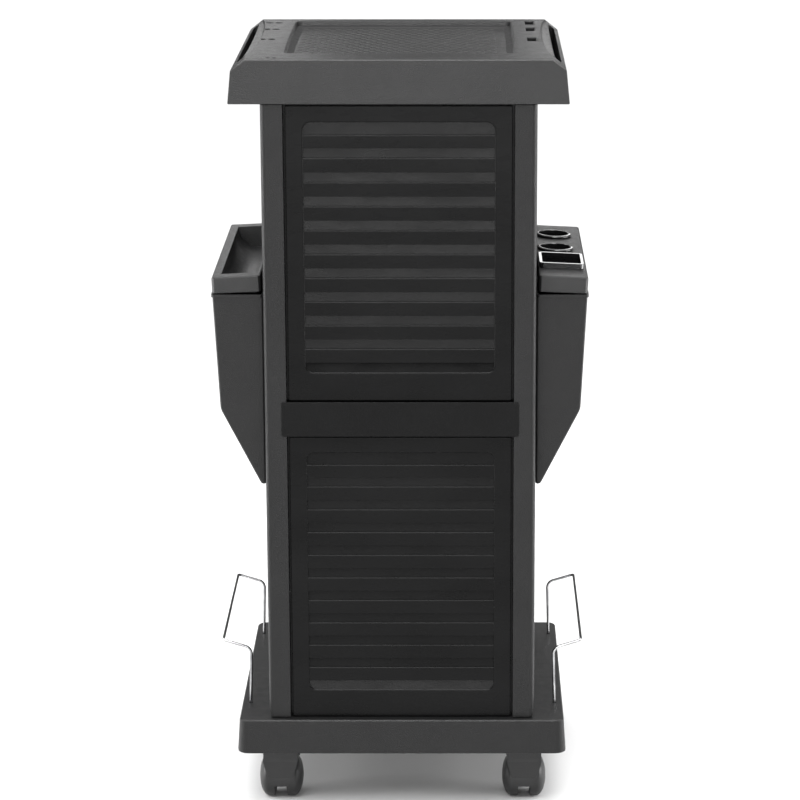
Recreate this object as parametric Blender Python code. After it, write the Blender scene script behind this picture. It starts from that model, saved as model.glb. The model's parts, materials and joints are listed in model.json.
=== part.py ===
"""Spa trolley cart: a drawer tower on casters with a chamfered top, side bins and wire racks.

Metres, +Z up. The origin is on the floor, under the middle of the trolley. The closed,
louvred side faces -Y, and the drawers open towards +Y.
"""

import math

import bmesh
import bpy
from mathutils import Vector

GAP = 0.0003  # between pieces that touch
PAST = 0.01  # how far a cutter runs past the surface it opens
BITE = 0.001  # how far a joined piece reaches into its neighbour

# Tower
HEIGHT = 0.880
BODY_HALF_WIDTH = 0.1535
BODY_HALF_DEPTH = 0.169
BODY_BOTTOM = 0.1128
BODY_TOP = 0.8304
POST_WIDTH = 0.025
POST_DEPTH = 0.018
POST_RADIUS = 0.006
WALL = 0.003

# Louvred panels and crossbars
PANEL_HALF_WIDTH = 0.126
PANEL_HEIGHT = 0.3363
PANEL_FACE = 0.166
PANEL_THICKNESS = 0.007
PANEL_FLANGE = 0.003
PANEL_FLANGE_OVERLAP = 0.0022
LOWER_PANEL_BOTTOM = 0.1131
UPPER_PANEL_BOTTOM = 0.4920
RECESS_WIDTH = 0.213
RECESS_RADIUS = 0.009
RECESS_TOP_MARGIN = 0.0185
FIRST_LAND_DROP = 0.0143
FIRST_LAND_HEIGHT = 0.0148
LOUVRE_PITCH = 0.0272
LOUVRE_BAND = 0.0110
LOUVRE_COUNT = 10
LOUVRE_DEPTH = 0.0045
LAND_DEPTH = 0.0012
CROSSBAR_BOTTOM = 0.4511
CROSSBAR_TOP = 0.4912
CROSSBAR_HALF_WIDTH = 0.1345
CROSSBAR_FACE = 0.1705
CROSSBAR_PLATE = 0.0012
CROSSBAR_BACK = 0.1490
LEDGE_BACK = 0.1380
LEDGE_TOP = 0.4655
SHELF_THICKNESS = 0.003
SHELF_HALF_WIDTH = 0.1500
SHELF_HALF_DEPTH = 0.1485
SCREW_X = 0.080
SCREW_Y = 0.1440
SCREW_RADIUS = 0.0019
SCREW_HEAD_RADIUS = 0.004
SCREW_HEAD_HEIGHT = 0.0025
SCREW_LENGTH = 0.010

# Drawers
SHALLOW_DRAWERS = 4
DEEP_DRAWERS = 2
DRAWER_GAP = 0.003
DRAWER_FACE = 0.1665
DRAWER_FRONT = 0.004
DRAWER_BACK = -0.150
TUB_HALF_WIDTH = 0.1215
TUB_FLANGE_HALF_WIDTH = 0.1265
TUB_WALL = 0.002
TUB_DROP = 0.012
TUB_LIFT = 0.004
RUNNER_HALF_LENGTH = 0.150
RUNNER_INNER = 0.1225
PULL_HALF_WIDTH = 0.050

# Base
BASE_TOP = 0.1125
BASE_BOTTOM = 0.0722
BASE_HALF_WIDTH = 0.1882
BASE_HALF_DEPTH = 0.1770
BASE_DRAFT = 0.0026
BASE_RADIUS = 0.010
BASE_PLATE = 0.004
BASE_FILLET = 0.0018

# Casters
STEM_X = 0.143
STEM_Y = 0.140
TRAIL = 0.017
WHEEL_RADIUS = 0.025
WHEEL_INNER = 0.00675
WHEEL_TREAD_END = 0.015
WHEEL_OUTER = 0.0257
AXLE_RADIUS = 0.004
AXLE_HALF_LENGTH = 0.0205
STEM_RADIUS = 0.0055
STEM_BOTTOM = 0.0523
STEM_TOP = 0.1070
STEM_BOSS_RADIUS = 0.013
STEM_BOSS_BOTTOM = 0.0690
COLLAR_RADIUS = 0.009
COLLAR_BOTTOM = 0.0660
COLLAR_TOP = 0.0682
HOOD_INNER = 0.0263
HOOD_OUTER = 0.0290
HOOD_HALF_WIDTH = 0.0205
HOOD_TIP_HALF_WIDTH = 0.0090
HOOD_BACK_ANGLE = -55.0
HOOD_FRONT_ANGLE = 100.0
HOOD_TAPER_ANGLE = 10.0
HOOD_WEB_HALF = 0.0064
HOOD_HUB_RADIUS = 0.0085
HOOD_BOSS_RADIUS = 0.0095
HOOD_BOSS_BOTTOM = 0.0488
HOOD_BOSS_TOP = 0.0655
HOOD_NECK_HALF = 0.0092
HOOD_NECK_BOTTOM = 0.040

# Top
TOP_HALF_LENGTH = 0.172
FASCIA_THICKNESS = 0.007
TOP_BOTTOM = 0.8307
TOP_BOTTOM_HALF = 0.1888
CHAMFER_HALF = 0.1852
CHAMFER_LOW = 0.8676
RIDGE_HALF = 0.1696
DECK_RECESS_HALF = 0.128
DECK_RECESS_BULGE = 0.0013
DECK_RECESS_FRONT = -0.118
DECK_RECESS_REAR = 0.155
DECK_RECESS_RADIUS = 0.008
DECK_RECESS_SLOPE = 0.008
DECK_FLOOR = 0.872
DECK_PLATE = 0.003
DECK_CAVITY_HALF = 0.1655
DECK_CAVITY_LENGTH = 0.158
DECK_POCKET_INNER = 0.131
DECK_POCKET_OUTER = 0.1605
SLOT_INNER = 0.173
SLOT_OUTER = 0.1805
SLOT_FRONT = -0.135
SLOT_REAR = 0.150
SLOT_RADIUS = 0.0035
SCOOP_CENTRE_Y = 0.020
SCOOP_HALF_SIZE = (0.0115, 0.155, 0.006)
TOOL_HOLE_ROWS = (-0.005, 0.081, 0.138)
TOOL_HOLE_X = (0.1488, 0.1598)
TOOL_HOLE_RADIUS = 0.0043
SMALL_HOLE_X = (0.1373, 0.1444)
SMALL_HOLE_Y = -0.155
SMALL_HOLE_RADIUS = 0.0022
SOCKET_X = (0.1450, 0.1555)
SOCKET_HALF_LENGTH = 0.015

# Bins and their trays
BIN_INNER = 0.1538
BIN_WALL = 0.0025
BIN_INNER_WALL = 0.002
BIN_FRONT = -0.150
BIN_REAR = {"left": 0.157, "right": 0.143}
BIN_RIM = 0.6115
BIN_RIM_X = 0.2117
BIN_KNEE_X = 0.2050
BIN_KNEE_Z = 0.4830
BIN_KNEE_RADIUS = 0.020
BIN_FOOT_X = 0.1570
BIN_FOOT_Z = 0.3890
BIN_BEVEL = 0.004
LIP = 0.0012
LIP_HEIGHT = 0.0033
HOOK_Y = 0.100
HOOK_WIDTH = 0.010
HOOK_NECK = (0.586, 0.594)
HOOK_TIP_BOTTOM = 0.576
HOOK_TIP_X = (0.1470, 0.1500)
HOOK_TIP_INSET = 0.0002
HOOK_SLOT = (HOOK_NECK[0] - GAP, 0.614)
HOOK_SLOT_WIDTH = 0.014
TRAY_INNER = 0.156
TRAY_OUTER = 0.2115
TRAY_HEIGHT = 0.0192
TRAY_TILT = 2.6
TRAY_BEVEL = 0.002
TROUGH_X = 0.1765
TROUGH_Z = 0.0180
TROUGH_RADIUS = 0.0245
TROUGH_INNER = 0.1600
TROUGH_END = 0.018
TROUGH_SHELL = 0.002
TRAY_PLATE = 0.003
FOOT_X = (0.1543, 0.1572)
FOOT_TOP = 0.006
FOOT_HALF_LENGTH = 0.005
CUP_X = 0.1785
CUP_ROWS = (0.001, 0.080)
CUP_COLLAR_RADIUS = 0.0215
CUP_BODY_RADIUS = 0.0190
CUP_WALL = 0.0015
CUP_COLLAR_HEIGHT = 0.0035
CUP_DEPTH = 0.045
BOX_CUP_X = (0.1572, 0.2075)
BOX_CUP_Y = (-0.109, -0.048)
BOX_CUP_COLLAR_HEIGHT = 0.0065
BOX_CUP_COLLAR = 0.0016
BOX_CUP_RADIUS = 0.005
BOX_CUP_DEPTH = 0.038

# Wire racks
WIRE_RADIUS = 0.00165
WIRE_FOOT_X = 0.1785
WIRE_SHOULDER_X = 0.1768
WIRE_SHOULDER_Z = 0.1800
WIRE_BAR_X = 0.2095
WIRE_BAR_Z = 0.1900
WIRE_FRONT = -0.117
WIRE_REAR = 0.133
WIRE_FOOT_Z = 0.0985
WIRE_SHOULDER_RADIUS = 0.010
WIRE_CORNER_RADIUS = 0.004
WIRE_BOSS_RADIUS = 0.005
WIRE_BOSS_BOTTOM = 0.097
WIRE_CLEARANCE = 0.0003

SIDES = {"left": -1, "right": 1}


def clear_scene():
    for obj in list(bpy.data.objects):
        bpy.data.objects.remove(obj)


def plastic(name, grey, roughness):
    return finish(name, (grey, grey, grey), roughness, 0.0)


def finish(name, colour, roughness, metallic):
    material = bpy.data.materials.new(name)
    material.use_nodes = True
    shader = material.node_tree.nodes["Principled BSDF"]
    shader.inputs["Base Color"].default_value = (*colour, 1.0)
    shader.inputs["Roughness"].default_value = roughness
    shader.inputs["Metallic"].default_value = metallic
    return material


def solid(name, bm):
    """An object from a closed bmesh, with its faces pointing out."""
    bmesh.ops.recalc_face_normals(bm, faces=bm.faces)
    mesh = bpy.data.meshes.new(name)
    bm.to_mesh(mesh)
    bm.free()
    obj = bpy.data.objects.new(name, mesh)
    bpy.context.collection.objects.link(obj)
    return obj


def axis_point(axis, a, b, along):
    if axis == "X":
        return (along, a, b)
    if axis == "Y":
        return (a, along, b)
    return (a, b, along)


def loft(name, rings):
    """A closed solid through rings of equal length, capped at both ends."""
    bm = bmesh.new()
    loops = [[bm.verts.new(point) for point in ring] for ring in rings]
    count = len(loops[0])
    for lower, upper in zip(loops, loops[1:]):
        for index in range(count):
            following = (index + 1) % count
            bm.faces.new((lower[index], lower[following], upper[following], upper[index]))
    bm.faces.new(loops[0])
    bm.faces.new(loops[-1])
    return solid(name, bm)


def prism(name, outline, start, end, axis):
    rings = [[axis_point(axis, a, b, along) for a, b in outline] for along in (start, end)]
    return loft(name, rings)


def box(name, x_range, y_range, z_range):
    outline = [(x_range[0], y_range[0]), (x_range[1], y_range[0])]
    outline += [(x_range[1], y_range[1]), (x_range[0], y_range[1])]
    return prism(name, outline, z_range[0], z_range[1], "Z")


def arc(centre, radius, start, end, steps):
    """Points on a circle from one angle to another, in degrees, both ends included."""
    points = []
    for index in range(steps + 1):
        angle = math.radians(start + (end - start) * index / steps)
        points.append((centre[0] + radius * math.cos(angle), centre[1] + radius * math.sin(angle)))
    return points


def circle(centre, radius, segments):
    return arc(centre, radius, 0.0, 360.0 * (segments - 1) / segments, segments - 1)


def cylinder(name, centre, radius, start, end, axis, segments=16):
    return prism(name, circle(centre, radius, segments), start, end, axis)


def rounded_rectangle(a_range, b_range, radius, steps=4):
    (a_low, a_high), (b_low, b_high) = a_range, b_range
    points = arc((a_high - radius, b_low + radius), radius, -90, 0, steps)
    points += arc((a_high - radius, b_high - radius), radius, 0, 90, steps)
    points += arc((a_low + radius, b_high - radius), radius, 90, 180, steps)
    points += arc((a_low + radius, b_low + radius), radius, 180, 270, steps)
    return points


def lathe(name, profile, segments=24):
    """Turns (x, radius) points about the X axis, with a flat at the bottom of each ring.

    A point of radius 0 becomes a pole.
    """
    bm = bmesh.new()
    half_turn = 180.0 / segments
    outwards = 1.0 / math.cos(math.radians(half_turn))
    rings = []
    for x, radius in profile:
        if radius == 0.0:
            rings.append([bm.verts.new((x, 0.0, 0.0))])
        else:
            ring = arc((0.0, 0.0), radius * outwards, half_turn, 360.0 - half_turn, segments - 1)
            rings.append([bm.verts.new((x, y, z)) for y, z in ring])
    for first, second in zip(rings, rings[1:] + rings[:1]):
        if len(first) == 1 and len(second) == 1:
            continue
        for index in range(segments):
            following = (index + 1) % segments
            corners = [first[index % len(first)], first[following % len(first)]]
            corners += [second[following % len(second)], second[index % len(second)]]
            bm.faces.new(list(dict.fromkeys(corners)))
    return solid(name, bm)


def apply_modifiers(obj):
    bpy.context.view_layer.update()
    graph = bpy.context.evaluated_depsgraph_get()
    mesh = bpy.data.meshes.new_from_object(obj.evaluated_get(graph))
    obj.modifiers.clear()
    obj.data = mesh
    mesh.name = obj.name


def combine(target, operation, tools):
    """Adds the tools to the target or cuts them from it, and removes them."""
    for tool in tools:
        modifier = target.modifiers.new(operation, "BOOLEAN")
        modifier.operation = operation
        modifier.object = tool
    apply_modifiers(target)
    for tool in tools:
        bpy.data.objects.remove(tool)
    return target


def bevel(obj, width, segments=2):
    modifier = obj.modifiers.new("Bevel", "BEVEL")
    modifier.width = width
    modifier.segments = segments
    modifier.limit_method = "ANGLE"
    modifier.angle_limit = math.radians(40)
    apply_modifiers(obj)
    return obj


def mirrored(side, low, high):
    """A range on the +X side, as it lies on the given side."""
    return (low, high) if side > 0 else (-high, -low)


def set_origin(obj, point):
    offset = Vector(point)
    for vertex in obj.data.vertices:
        vertex.co -= offset
    obj.location = offset


def dress(obj, material):
    """Gives a finished piece its material, with smooth round faces and crisp edges."""
    obj.data.materials.clear()
    obj.data.materials.append(material)
    if obj.type == "MESH":
        obj.data.shade_smooth()
        obj.data.set_sharp_from_angle(angle=math.radians(35))
    return obj


def build_base(material):
    levels = [(BASE_BOTTOM, BASE_DRAFT), (BASE_TOP - BASE_FILLET, 0.0001)]
    levels += [(BASE_TOP - 0.3 * BASE_FILLET, -0.3 * BASE_FILLET), (BASE_TOP, -BASE_FILLET)]
    base = loft("base_tray", [base_ring(z, spread) for z, spread in levels])
    hollow_top = BASE_TOP - BASE_PLATE
    hollow = [base_ring(BASE_BOTTOM - 0.001, BASE_DRAFT - WALL), base_ring(hollow_top, -WALL)]
    combine(base, "DIFFERENCE", [loft("hollow", hollow)])
    combine(base, "UNION", list(base_bosses(hollow_top)))
    combine(base, "DIFFERENCE", list(base_bores()))
    return dress(base, material)


def base_ring(z, spread):
    x_half, y_half = BASE_HALF_WIDTH + spread, BASE_HALF_DEPTH + spread
    outline = rounded_rectangle((-x_half, x_half), (-y_half, y_half), BASE_RADIUS + spread)
    return [(x, y, z) for x, y in outline]


def stem_places():
    return [(side * STEM_X, end * STEM_Y) for side in (-1, 1) for end in (-1, 1)]


def wire_foot_places():
    return [(side * WIRE_FOOT_X, y) for side in (-1, 1) for y in (WIRE_FRONT, WIRE_REAR)]


def base_bosses(hollow_top):
    top = hollow_top + 0.002
    for place in stem_places():
        yield cylinder("boss", place, STEM_BOSS_RADIUS, STEM_BOSS_BOTTOM, top, "Z")
    for place in wire_foot_places():
        yield cylinder("boss", place, WIRE_BOSS_RADIUS, WIRE_BOSS_BOTTOM, top, "Z", 12)


def base_bores():
    for place in stem_places():
        bottom = STEM_BOSS_BOTTOM - PAST
        yield cylinder("bore", place, STEM_RADIUS + GAP, bottom, STEM_TOP + GAP, "Z")
    for place in wire_foot_places():
        bore_radius = WIRE_RADIUS + WIRE_CLEARANCE
        yield cylinder("bore", place, bore_radius, WIRE_BOSS_BOTTOM - PAST, BASE_TOP + PAST, "Z", 12)


def wheel_profile():
    """Half section of a caster wheel: flat inner face, tread, domed outer face, blind bore."""
    bore = AXLE_RADIUS + GAP
    profile = [(WHEEL_INNER, bore), (WHEEL_INNER, WHEEL_RADIUS - 0.0015)]
    profile += [(WHEEL_INNER + 0.0015, WHEEL_RADIUS), (WHEEL_TREAD_END, WHEEL_RADIUS)]
    dome = WHEEL_OUTER - WHEEL_TREAD_END
    for angle in (25, 50, 72):
        sine, cosine = math.sin(math.radians(angle)), math.cos(math.radians(angle))
        profile.append((WHEEL_TREAD_END + dome * sine, WHEEL_RADIUS * cosine))
    profile += [(WHEEL_OUTER, 0.0), (AXLE_HALF_LENGTH + 0.0005, 0.0)]
    profile.append((AXLE_HALF_LENGTH + 0.0005, bore))
    return profile


def hood_point(angle, radius):
    """A point round the axle, at an angle from the vertical towards the stem's side."""
    turn = math.radians(angle)
    return (TRAIL - radius * math.sin(turn), WHEEL_RADIUS + radius * math.cos(turn))


def hood_shield(steps=12):
    rings = []
    for index in range(steps + 1):
        angle = HOOD_BACK_ANGLE + (HOOD_FRONT_ANGLE - HOOD_BACK_ANGLE) * index / steps
        taper = max(0.0, (angle - HOOD_TAPER_ANGLE) / (HOOD_FRONT_ANGLE - HOOD_TAPER_ANGLE))
        half = HOOD_HALF_WIDTH + (HOOD_TIP_HALF_WIDTH - HOOD_HALF_WIDTH) * taper * taper
        inner, outer = hood_point(angle, HOOD_INNER), hood_point(angle, HOOD_OUTER)
        rings.append([(-half, *inner), (-half, *outer), (half, *outer), (half, *inner)])
    return loft("hood_shield", rings)


def hood_web():
    reach = (HOOD_INNER + HOOD_OUTER) / 2
    span = HOOD_FRONT_ANGLE - HOOD_BACK_ANGLE - 4
    outline = [hood_point(HOOD_BACK_ANGLE + 2 + span * index / 12, reach) for index in range(13)]
    outline += [hood_point(angle, HOOD_HUB_RADIUS) for angle in (135, 180, 225)]
    return prism("hood_web", outline, -HOOD_WEB_HALF, HOOD_WEB_HALF, "X")


def build_hood(name):
    hood = hood_web()
    hood.name = name
    neck_x, neck_y = (-HOOD_WEB_HALF, HOOD_WEB_HALF), (-HOOD_NECK_HALF, HOOD_NECK_HALF)
    neck = box("neck", neck_x, neck_y, (HOOD_NECK_BOTTOM, HOOD_BOSS_TOP - 2 * BITE))
    boss = cylinder("boss", (0, 0), HOOD_BOSS_RADIUS, HOOD_BOSS_BOTTOM, HOOD_BOSS_TOP, "Z")
    combine(hood, "UNION", [hood_shield(), neck, boss])
    stem_bore = cylinder("bore", (0, 0), STEM_RADIUS + GAP, STEM_BOTTOM - GAP, HOOD_BOSS_TOP + PAST, "Z")
    reach = HOOD_WEB_HALF + PAST
    axle_bore = cylinder("bore", (TRAIL, WHEEL_RADIUS), AXLE_RADIUS + GAP, -reach, reach, "X")
    return combine(hood, "DIFFERENCE", [stem_bore, axle_bore])


def build_stem(name):
    stem = cylinder(name, (0, 0), STEM_RADIUS, STEM_BOTTOM, STEM_TOP, "Z")
    collar = cylinder("collar", (0, 0), COLLAR_RADIUS, COLLAR_BOTTOM, COLLAR_TOP, "Z")
    return combine(stem, "UNION", [collar])


def build_axle():
    return cylinder("axle", (0, 0), AXLE_RADIUS, -AXLE_HALF_LENGTH, AXLE_HALF_LENGTH, "X")


def copy_of(obj, name):
    copy = bpy.data.objects.new(name, obj.data)
    bpy.context.collection.objects.link(copy)
    return copy


def build_casters(hood_material, wheel_material, steel):
    """Four twin-wheel casters. Each hangs under an empty on its stem's axis."""
    masters = {
        "stem": dress(build_stem("stem"), steel),
        "hood": dress(build_hood("hood"), hood_material),
        "axle": dress(build_axle(), steel),
        "wheel": dress(lathe("wheel", wheel_profile()), wheel_material),
    }
    for end_name, end in (("front", -1), ("rear", 1)):
        for side_name, side in SIDES.items():
            place_caster(f"caster_{end_name}_{side_name}", side * STEM_X, end, masters)
    for master in masters.values():
        bpy.data.objects.remove(master)


def place_caster(prefix, x, end, masters):
    """The wheels trail towards the middle of the trolley."""
    swivel = bpy.data.objects.new(prefix + "_swivel_axis", None)
    bpy.context.collection.objects.link(swivel)
    swivel.location = (x, end * STEM_Y, 0.0)
    swivel.rotation_euler = (0.0, 0.0, 0.0 if end < 0 else math.pi)
    axle_place = (0.0, TRAIL, WHEEL_RADIUS)
    pieces = [("stem", "stem", (0, 0, 0), 0.0), ("hood", "hood", (0, 0, 0), 0.0)]
    pieces += [("axle", "axle", axle_place, 0.0), ("wheel_a", "wheel", axle_place, 0.0)]
    pieces += [("wheel_b", "wheel", axle_place, math.pi)]
    for suffix, master, place, turn in pieces:
        piece = copy_of(masters[master], f"{prefix}_{suffix}")
        piece.parent = swivel
        piece.location = place
        piece.rotation_euler = (0.0, 0.0, turn)


def panel_section(side):
    """Plan outline of a side panel: its outer wall and the two posts that it rolls into."""
    outer, depth = BODY_HALF_WIDTH, BODY_HALF_DEPTH
    inner = outer - POST_WIDTH
    half = arc((outer - POST_RADIUS, depth - POST_RADIUS), POST_RADIUS, 0, 90, 5)
    half += [(inner, depth), (inner, depth - POST_DEPTH), (inner + WALL, depth - POST_DEPTH)]
    half += [(inner + WALL, depth - WALL), (outer - WALL, depth - WALL)]
    outline = half + [(x, -y) for x, y in reversed(half)]
    return [(side * x, y) for x, y in outline]


def drawer_levels():
    """(name, bottom, top) of each drawer front, from the lowest up."""
    levels = []
    zones = [("deep", DEEP_DRAWERS, LOWER_PANEL_BOTTOM), ("shallow", SHALLOW_DRAWERS, UPPER_PANEL_BOTTOM)]
    for kind, count, bottom in zones:
        pitch = (PANEL_HEIGHT + DRAWER_GAP) / count
        for index in range(count):
            low = bottom + index * pitch
            levels.append((f"{kind}_drawer_{index + 1}", low, low + pitch - DRAWER_GAP))
    return levels


def build_side_panel(side_name, material):
    side = SIDES[side_name]
    panel = prism(f"side_panel_{side_name}", panel_section(side), BODY_BOTTOM, BODY_TOP, "Z")
    runners = []
    for _, _, front_top in drawer_levels():
        top = front_top - TUB_DROP - WALL - GAP
        x_range = mirrored(side, RUNNER_INNER, BODY_HALF_WIDTH - WALL + BITE)
        y_range = (-RUNNER_HALF_LENGTH, RUNNER_HALF_LENGTH)
        runners.append(box("runner", x_range, y_range, (top - WALL, top)))
    combine(panel, "UNION", runners)
    slot_x = mirrored(side, BODY_HALF_WIDTH - 2 * WALL, BODY_HALF_WIDTH + WALL)
    half = HOOK_SLOT_WIDTH / 2
    slots = [box("slot", slot_x, (y - half, y + half), HOOK_SLOT) for y in (-HOOK_Y, HOOK_Y)]
    return dress(combine(panel, "DIFFERENCE", slots), material)


def louvre_outline(bottom):
    """Side outline, as (depth, z), of what is cut away between the front and the louvres."""
    top = bottom + PANEL_HEIGHT - RECESS_TOP_MARGIN
    outline = [(-0.002, top), (LOUVRE_DEPTH, top)]
    land_top = top - FIRST_LAND_DROP
    land_bottom = land_top - FIRST_LAND_HEIGHT
    for _ in range(LOUVRE_COUNT):
        outline += [(LAND_DEPTH, land_top), (LAND_DEPTH, land_bottom), (LOUVRE_DEPTH, land_bottom)]
        land_top = land_bottom - LOUVRE_BAND
        land_bottom -= LOUVRE_PITCH
    return outline + [(LAND_DEPTH, land_top), (-0.002, land_top)]


def build_louvre_panel(name, bottom, material):
    top = bottom + PANEL_HEIGHT
    half = PANEL_HALF_WIDTH
    front, back = -PANEL_FACE, -PANEL_FACE + PANEL_THICKNESS
    panel = box(name, (-half, half), (front, back), (bottom, top))
    wide = half + PANEL_FLANGE_OVERLAP
    flange_z = (bottom + 0.0001, top + 0.0012)
    flange = box("flange", (-wide, wide), (back - PANEL_FLANGE, back + 0.0005), flange_z)
    combine(panel, "UNION", [flange])
    outline = louvre_outline(bottom)
    recess = prism("recess", [(front + depth, z) for depth, z in outline], -0.12, 0.12, "X")
    reach = RECESS_WIDTH / 2
    border = rounded_rectangle((-reach, reach), (outline[-1][1], outline[0][1]), RECESS_RADIUS)
    combine(recess, "INTERSECT", [prism("border", border, front - 0.01, back + 0.01, "Y")])
    return dress(combine(panel, "DIFFERENCE", [recess]), material)


def build_crossbar(name, end, material):
    """A bar across the tower, with a ledge behind it that carries the shelf."""
    face, plate_back = CROSSBAR_FACE, CROSSBAR_FACE - CROSSBAR_PLATE
    plate_outline = rounded_rectangle(
        (-CROSSBAR_HALF_WIDTH, CROSSBAR_HALF_WIDTH), (CROSSBAR_BOTTOM, CROSSBAR_TOP), 0.002, 2
    )
    bar = prism(name, plate_outline, *sorted((end * face, end * plate_back)), "Y")
    inner = BODY_HALF_WIDTH - POST_WIDTH - 0.0005
    block_y = sorted((end * (plate_back + 0.0004), end * CROSSBAR_BACK))
    block = box("block", (-inner, inner), block_y, (CROSSBAR_BOTTOM + 0.0005, CROSSBAR_TOP - 0.0005))
    ledge_y = sorted((end * (CROSSBAR_BACK + 0.002), end * LEDGE_BACK))
    ledge = box("ledge", (-inner + 0.003, inner - 0.003), ledge_y, (CROSSBAR_BOTTOM + 0.002, LEDGE_TOP))
    combine(bar, "UNION", [block, ledge])
    pilots = []
    pilot_z = (LEDGE_TOP - SCREW_LENGTH, LEDGE_TOP + PAST)
    for x in (-SCREW_X, SCREW_X):
        pilots.append(cylinder("pilot", (x, end * SCREW_Y), SCREW_RADIUS + GAP, *pilot_z, "Z", 12))
    return dress(combine(bar, "DIFFERENCE", pilots), material)


def build_shelf(material):
    low = LEDGE_TOP + GAP
    x_range, y_range = (-SHELF_HALF_WIDTH, SHELF_HALF_WIDTH), (-SHELF_HALF_DEPTH, SHELF_HALF_DEPTH)
    shelf = box("middle_shelf", x_range, y_range, (low, low + SHELF_THICKNESS))
    flanges = []
    for side in SIDES.values():
        x_range = mirrored(side, SHELF_HALF_WIDTH - 0.0025, SHELF_HALF_WIDTH)
        flanges.append(box("flange", x_range, y_range, (CROSSBAR_BOTTOM + 0.002, low + BITE)))
    combine(shelf, "UNION", flanges)
    holes = []
    for x, y in screw_places():
        holes.append(cylinder("hole", (x, y), SCREW_RADIUS + GAP, low - PAST, low + PAST, "Z", 12))
    return dress(combine(shelf, "DIFFERENCE", holes), material)


def screw_places():
    return [(x, y) for y in (-SCREW_Y, SCREW_Y) for x in (-SCREW_X, SCREW_X)]


def build_screws(steel):
    head_bottom = LEDGE_TOP + SHELF_THICKNESS + 2 * GAP
    head_top = head_bottom + SCREW_HEAD_HEIGHT
    shank_bottom = LEDGE_TOP - SCREW_LENGTH + GAP
    for number, place in enumerate(screw_places(), 1):
        name = f"shelf_screw_{number}"
        screw = cylinder(name, place, SCREW_RADIUS, shank_bottom, head_top - BITE, "Z", 12)
        head = cylinder("head", place, SCREW_HEAD_RADIUS, head_bottom, head_top, "Z", 16)
        combine(screw, "UNION", [head])
        dress(screw, steel)


def build_drawer(name, bottom, top, material):
    """A tub with a flange that slides on the runners, a front and a pull."""
    front_y = (DRAWER_FACE - DRAWER_FRONT, DRAWER_FACE)
    drawer = box(name, (-PANEL_HALF_WIDTH, PANEL_HALF_WIDTH), front_y, (bottom, top))
    tub_top = top - TUB_DROP
    tub_y = (DRAWER_BACK, front_y[0] + BITE)
    half = TUB_HALF_WIDTH
    tub = box("tub", (-half, half), tub_y, (bottom + TUB_LIFT, tub_top - BITE))
    wide = TUB_FLANGE_HALF_WIDTH
    flange = box("flange", (-wide, wide), tub_y, (tub_top - WALL, tub_top))
    combine(drawer, "UNION", [tub, flange, drawer_pull(top)])
    inner_y = (DRAWER_BACK + TUB_WALL, front_y[0] - TUB_WALL)
    inner_x = (-half + TUB_WALL, half - TUB_WALL)
    inside = box("inside", inner_x, inner_y, (bottom + TUB_LIFT + TUB_WALL, tub_top + PAST))
    combine(drawer, "DIFFERENCE", [inside])
    set_origin(drawer, (0.0, DRAWER_FACE, (bottom + top) / 2))
    return dress(drawer, material)


def drawer_pull(top):
    """A lip across the front, turned down so that fingers hook behind it."""
    face = DRAWER_FACE
    outline = [(face - 0.001, top - 0.008), (face + 0.0095, top - 0.010), (face + 0.0105, top - 0.012)]
    outline += [(face + 0.0105, top - 0.022), (face + 0.0083, top - 0.022)]
    outline += [(face + 0.0078, top - 0.0130), (face - 0.001, top - 0.0115)]
    return prism("pull", outline, -PULL_HALF_WIDTH, PULL_HALF_WIDTH, "X")


def top_outline():
    half = [(TOP_BOTTOM_HALF, TOP_BOTTOM), (CHAMFER_HALF, CHAMFER_LOW), (RIDGE_HALF, HEIGHT)]
    return half + [(-x, z) for x, z in reversed(half)]


def recess_ring(z, spread, steps=4):
    """The deck recess at one height: long sides bow out a little."""
    x_half = DECK_RECESS_HALF + spread
    y_low, y_high = DECK_RECESS_FRONT - spread, DECK_RECESS_REAR + spread
    centre, reach = (y_low + y_high) / 2, (y_high - y_low) / 2
    radius = DECK_RECESS_RADIUS
    right = arc((x_half - radius, y_low + radius), radius, -90, 0, steps)
    straight = y_high - y_low - 2 * radius
    right += [(x_half, y_low + radius + straight * part) for part in (0.2, 0.4, 0.6, 0.8)]
    right += arc((x_half - radius, y_high - radius), radius, 0, 90, steps)
    points = []
    for x, y in right:
        offset = (y - centre) / reach
        points.append((x + DECK_RECESS_BULGE * (1 - offset * offset), y, z))
    return points + [(-x, y, z) for x, y, z in reversed(points)]


def deck_recess():
    rings = [recess_ring(DECK_FLOOR, -DECK_RECESS_SLOPE), recess_ring(HEIGHT, 0.0)]
    rings.append(recess_ring(HEIGHT + 0.005, 0.005))
    return loft("recess", rings)


def hand_scoop(side):
    """A dished cut that runs down to the hand slot."""
    bm = bmesh.new()
    bmesh.ops.create_uvsphere(bm, u_segments=28, v_segments=8, radius=1.0)
    bmesh.ops.scale(bm, vec=Vector(SCOOP_HALF_SIZE), verts=bm.verts)
    bmesh.ops.translate(bm, vec=Vector((side * SLOT_INNER, SCOOP_CENTRE_Y, HEIGHT)), verts=bm.verts)
    return solid("scoop", bm)


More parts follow.
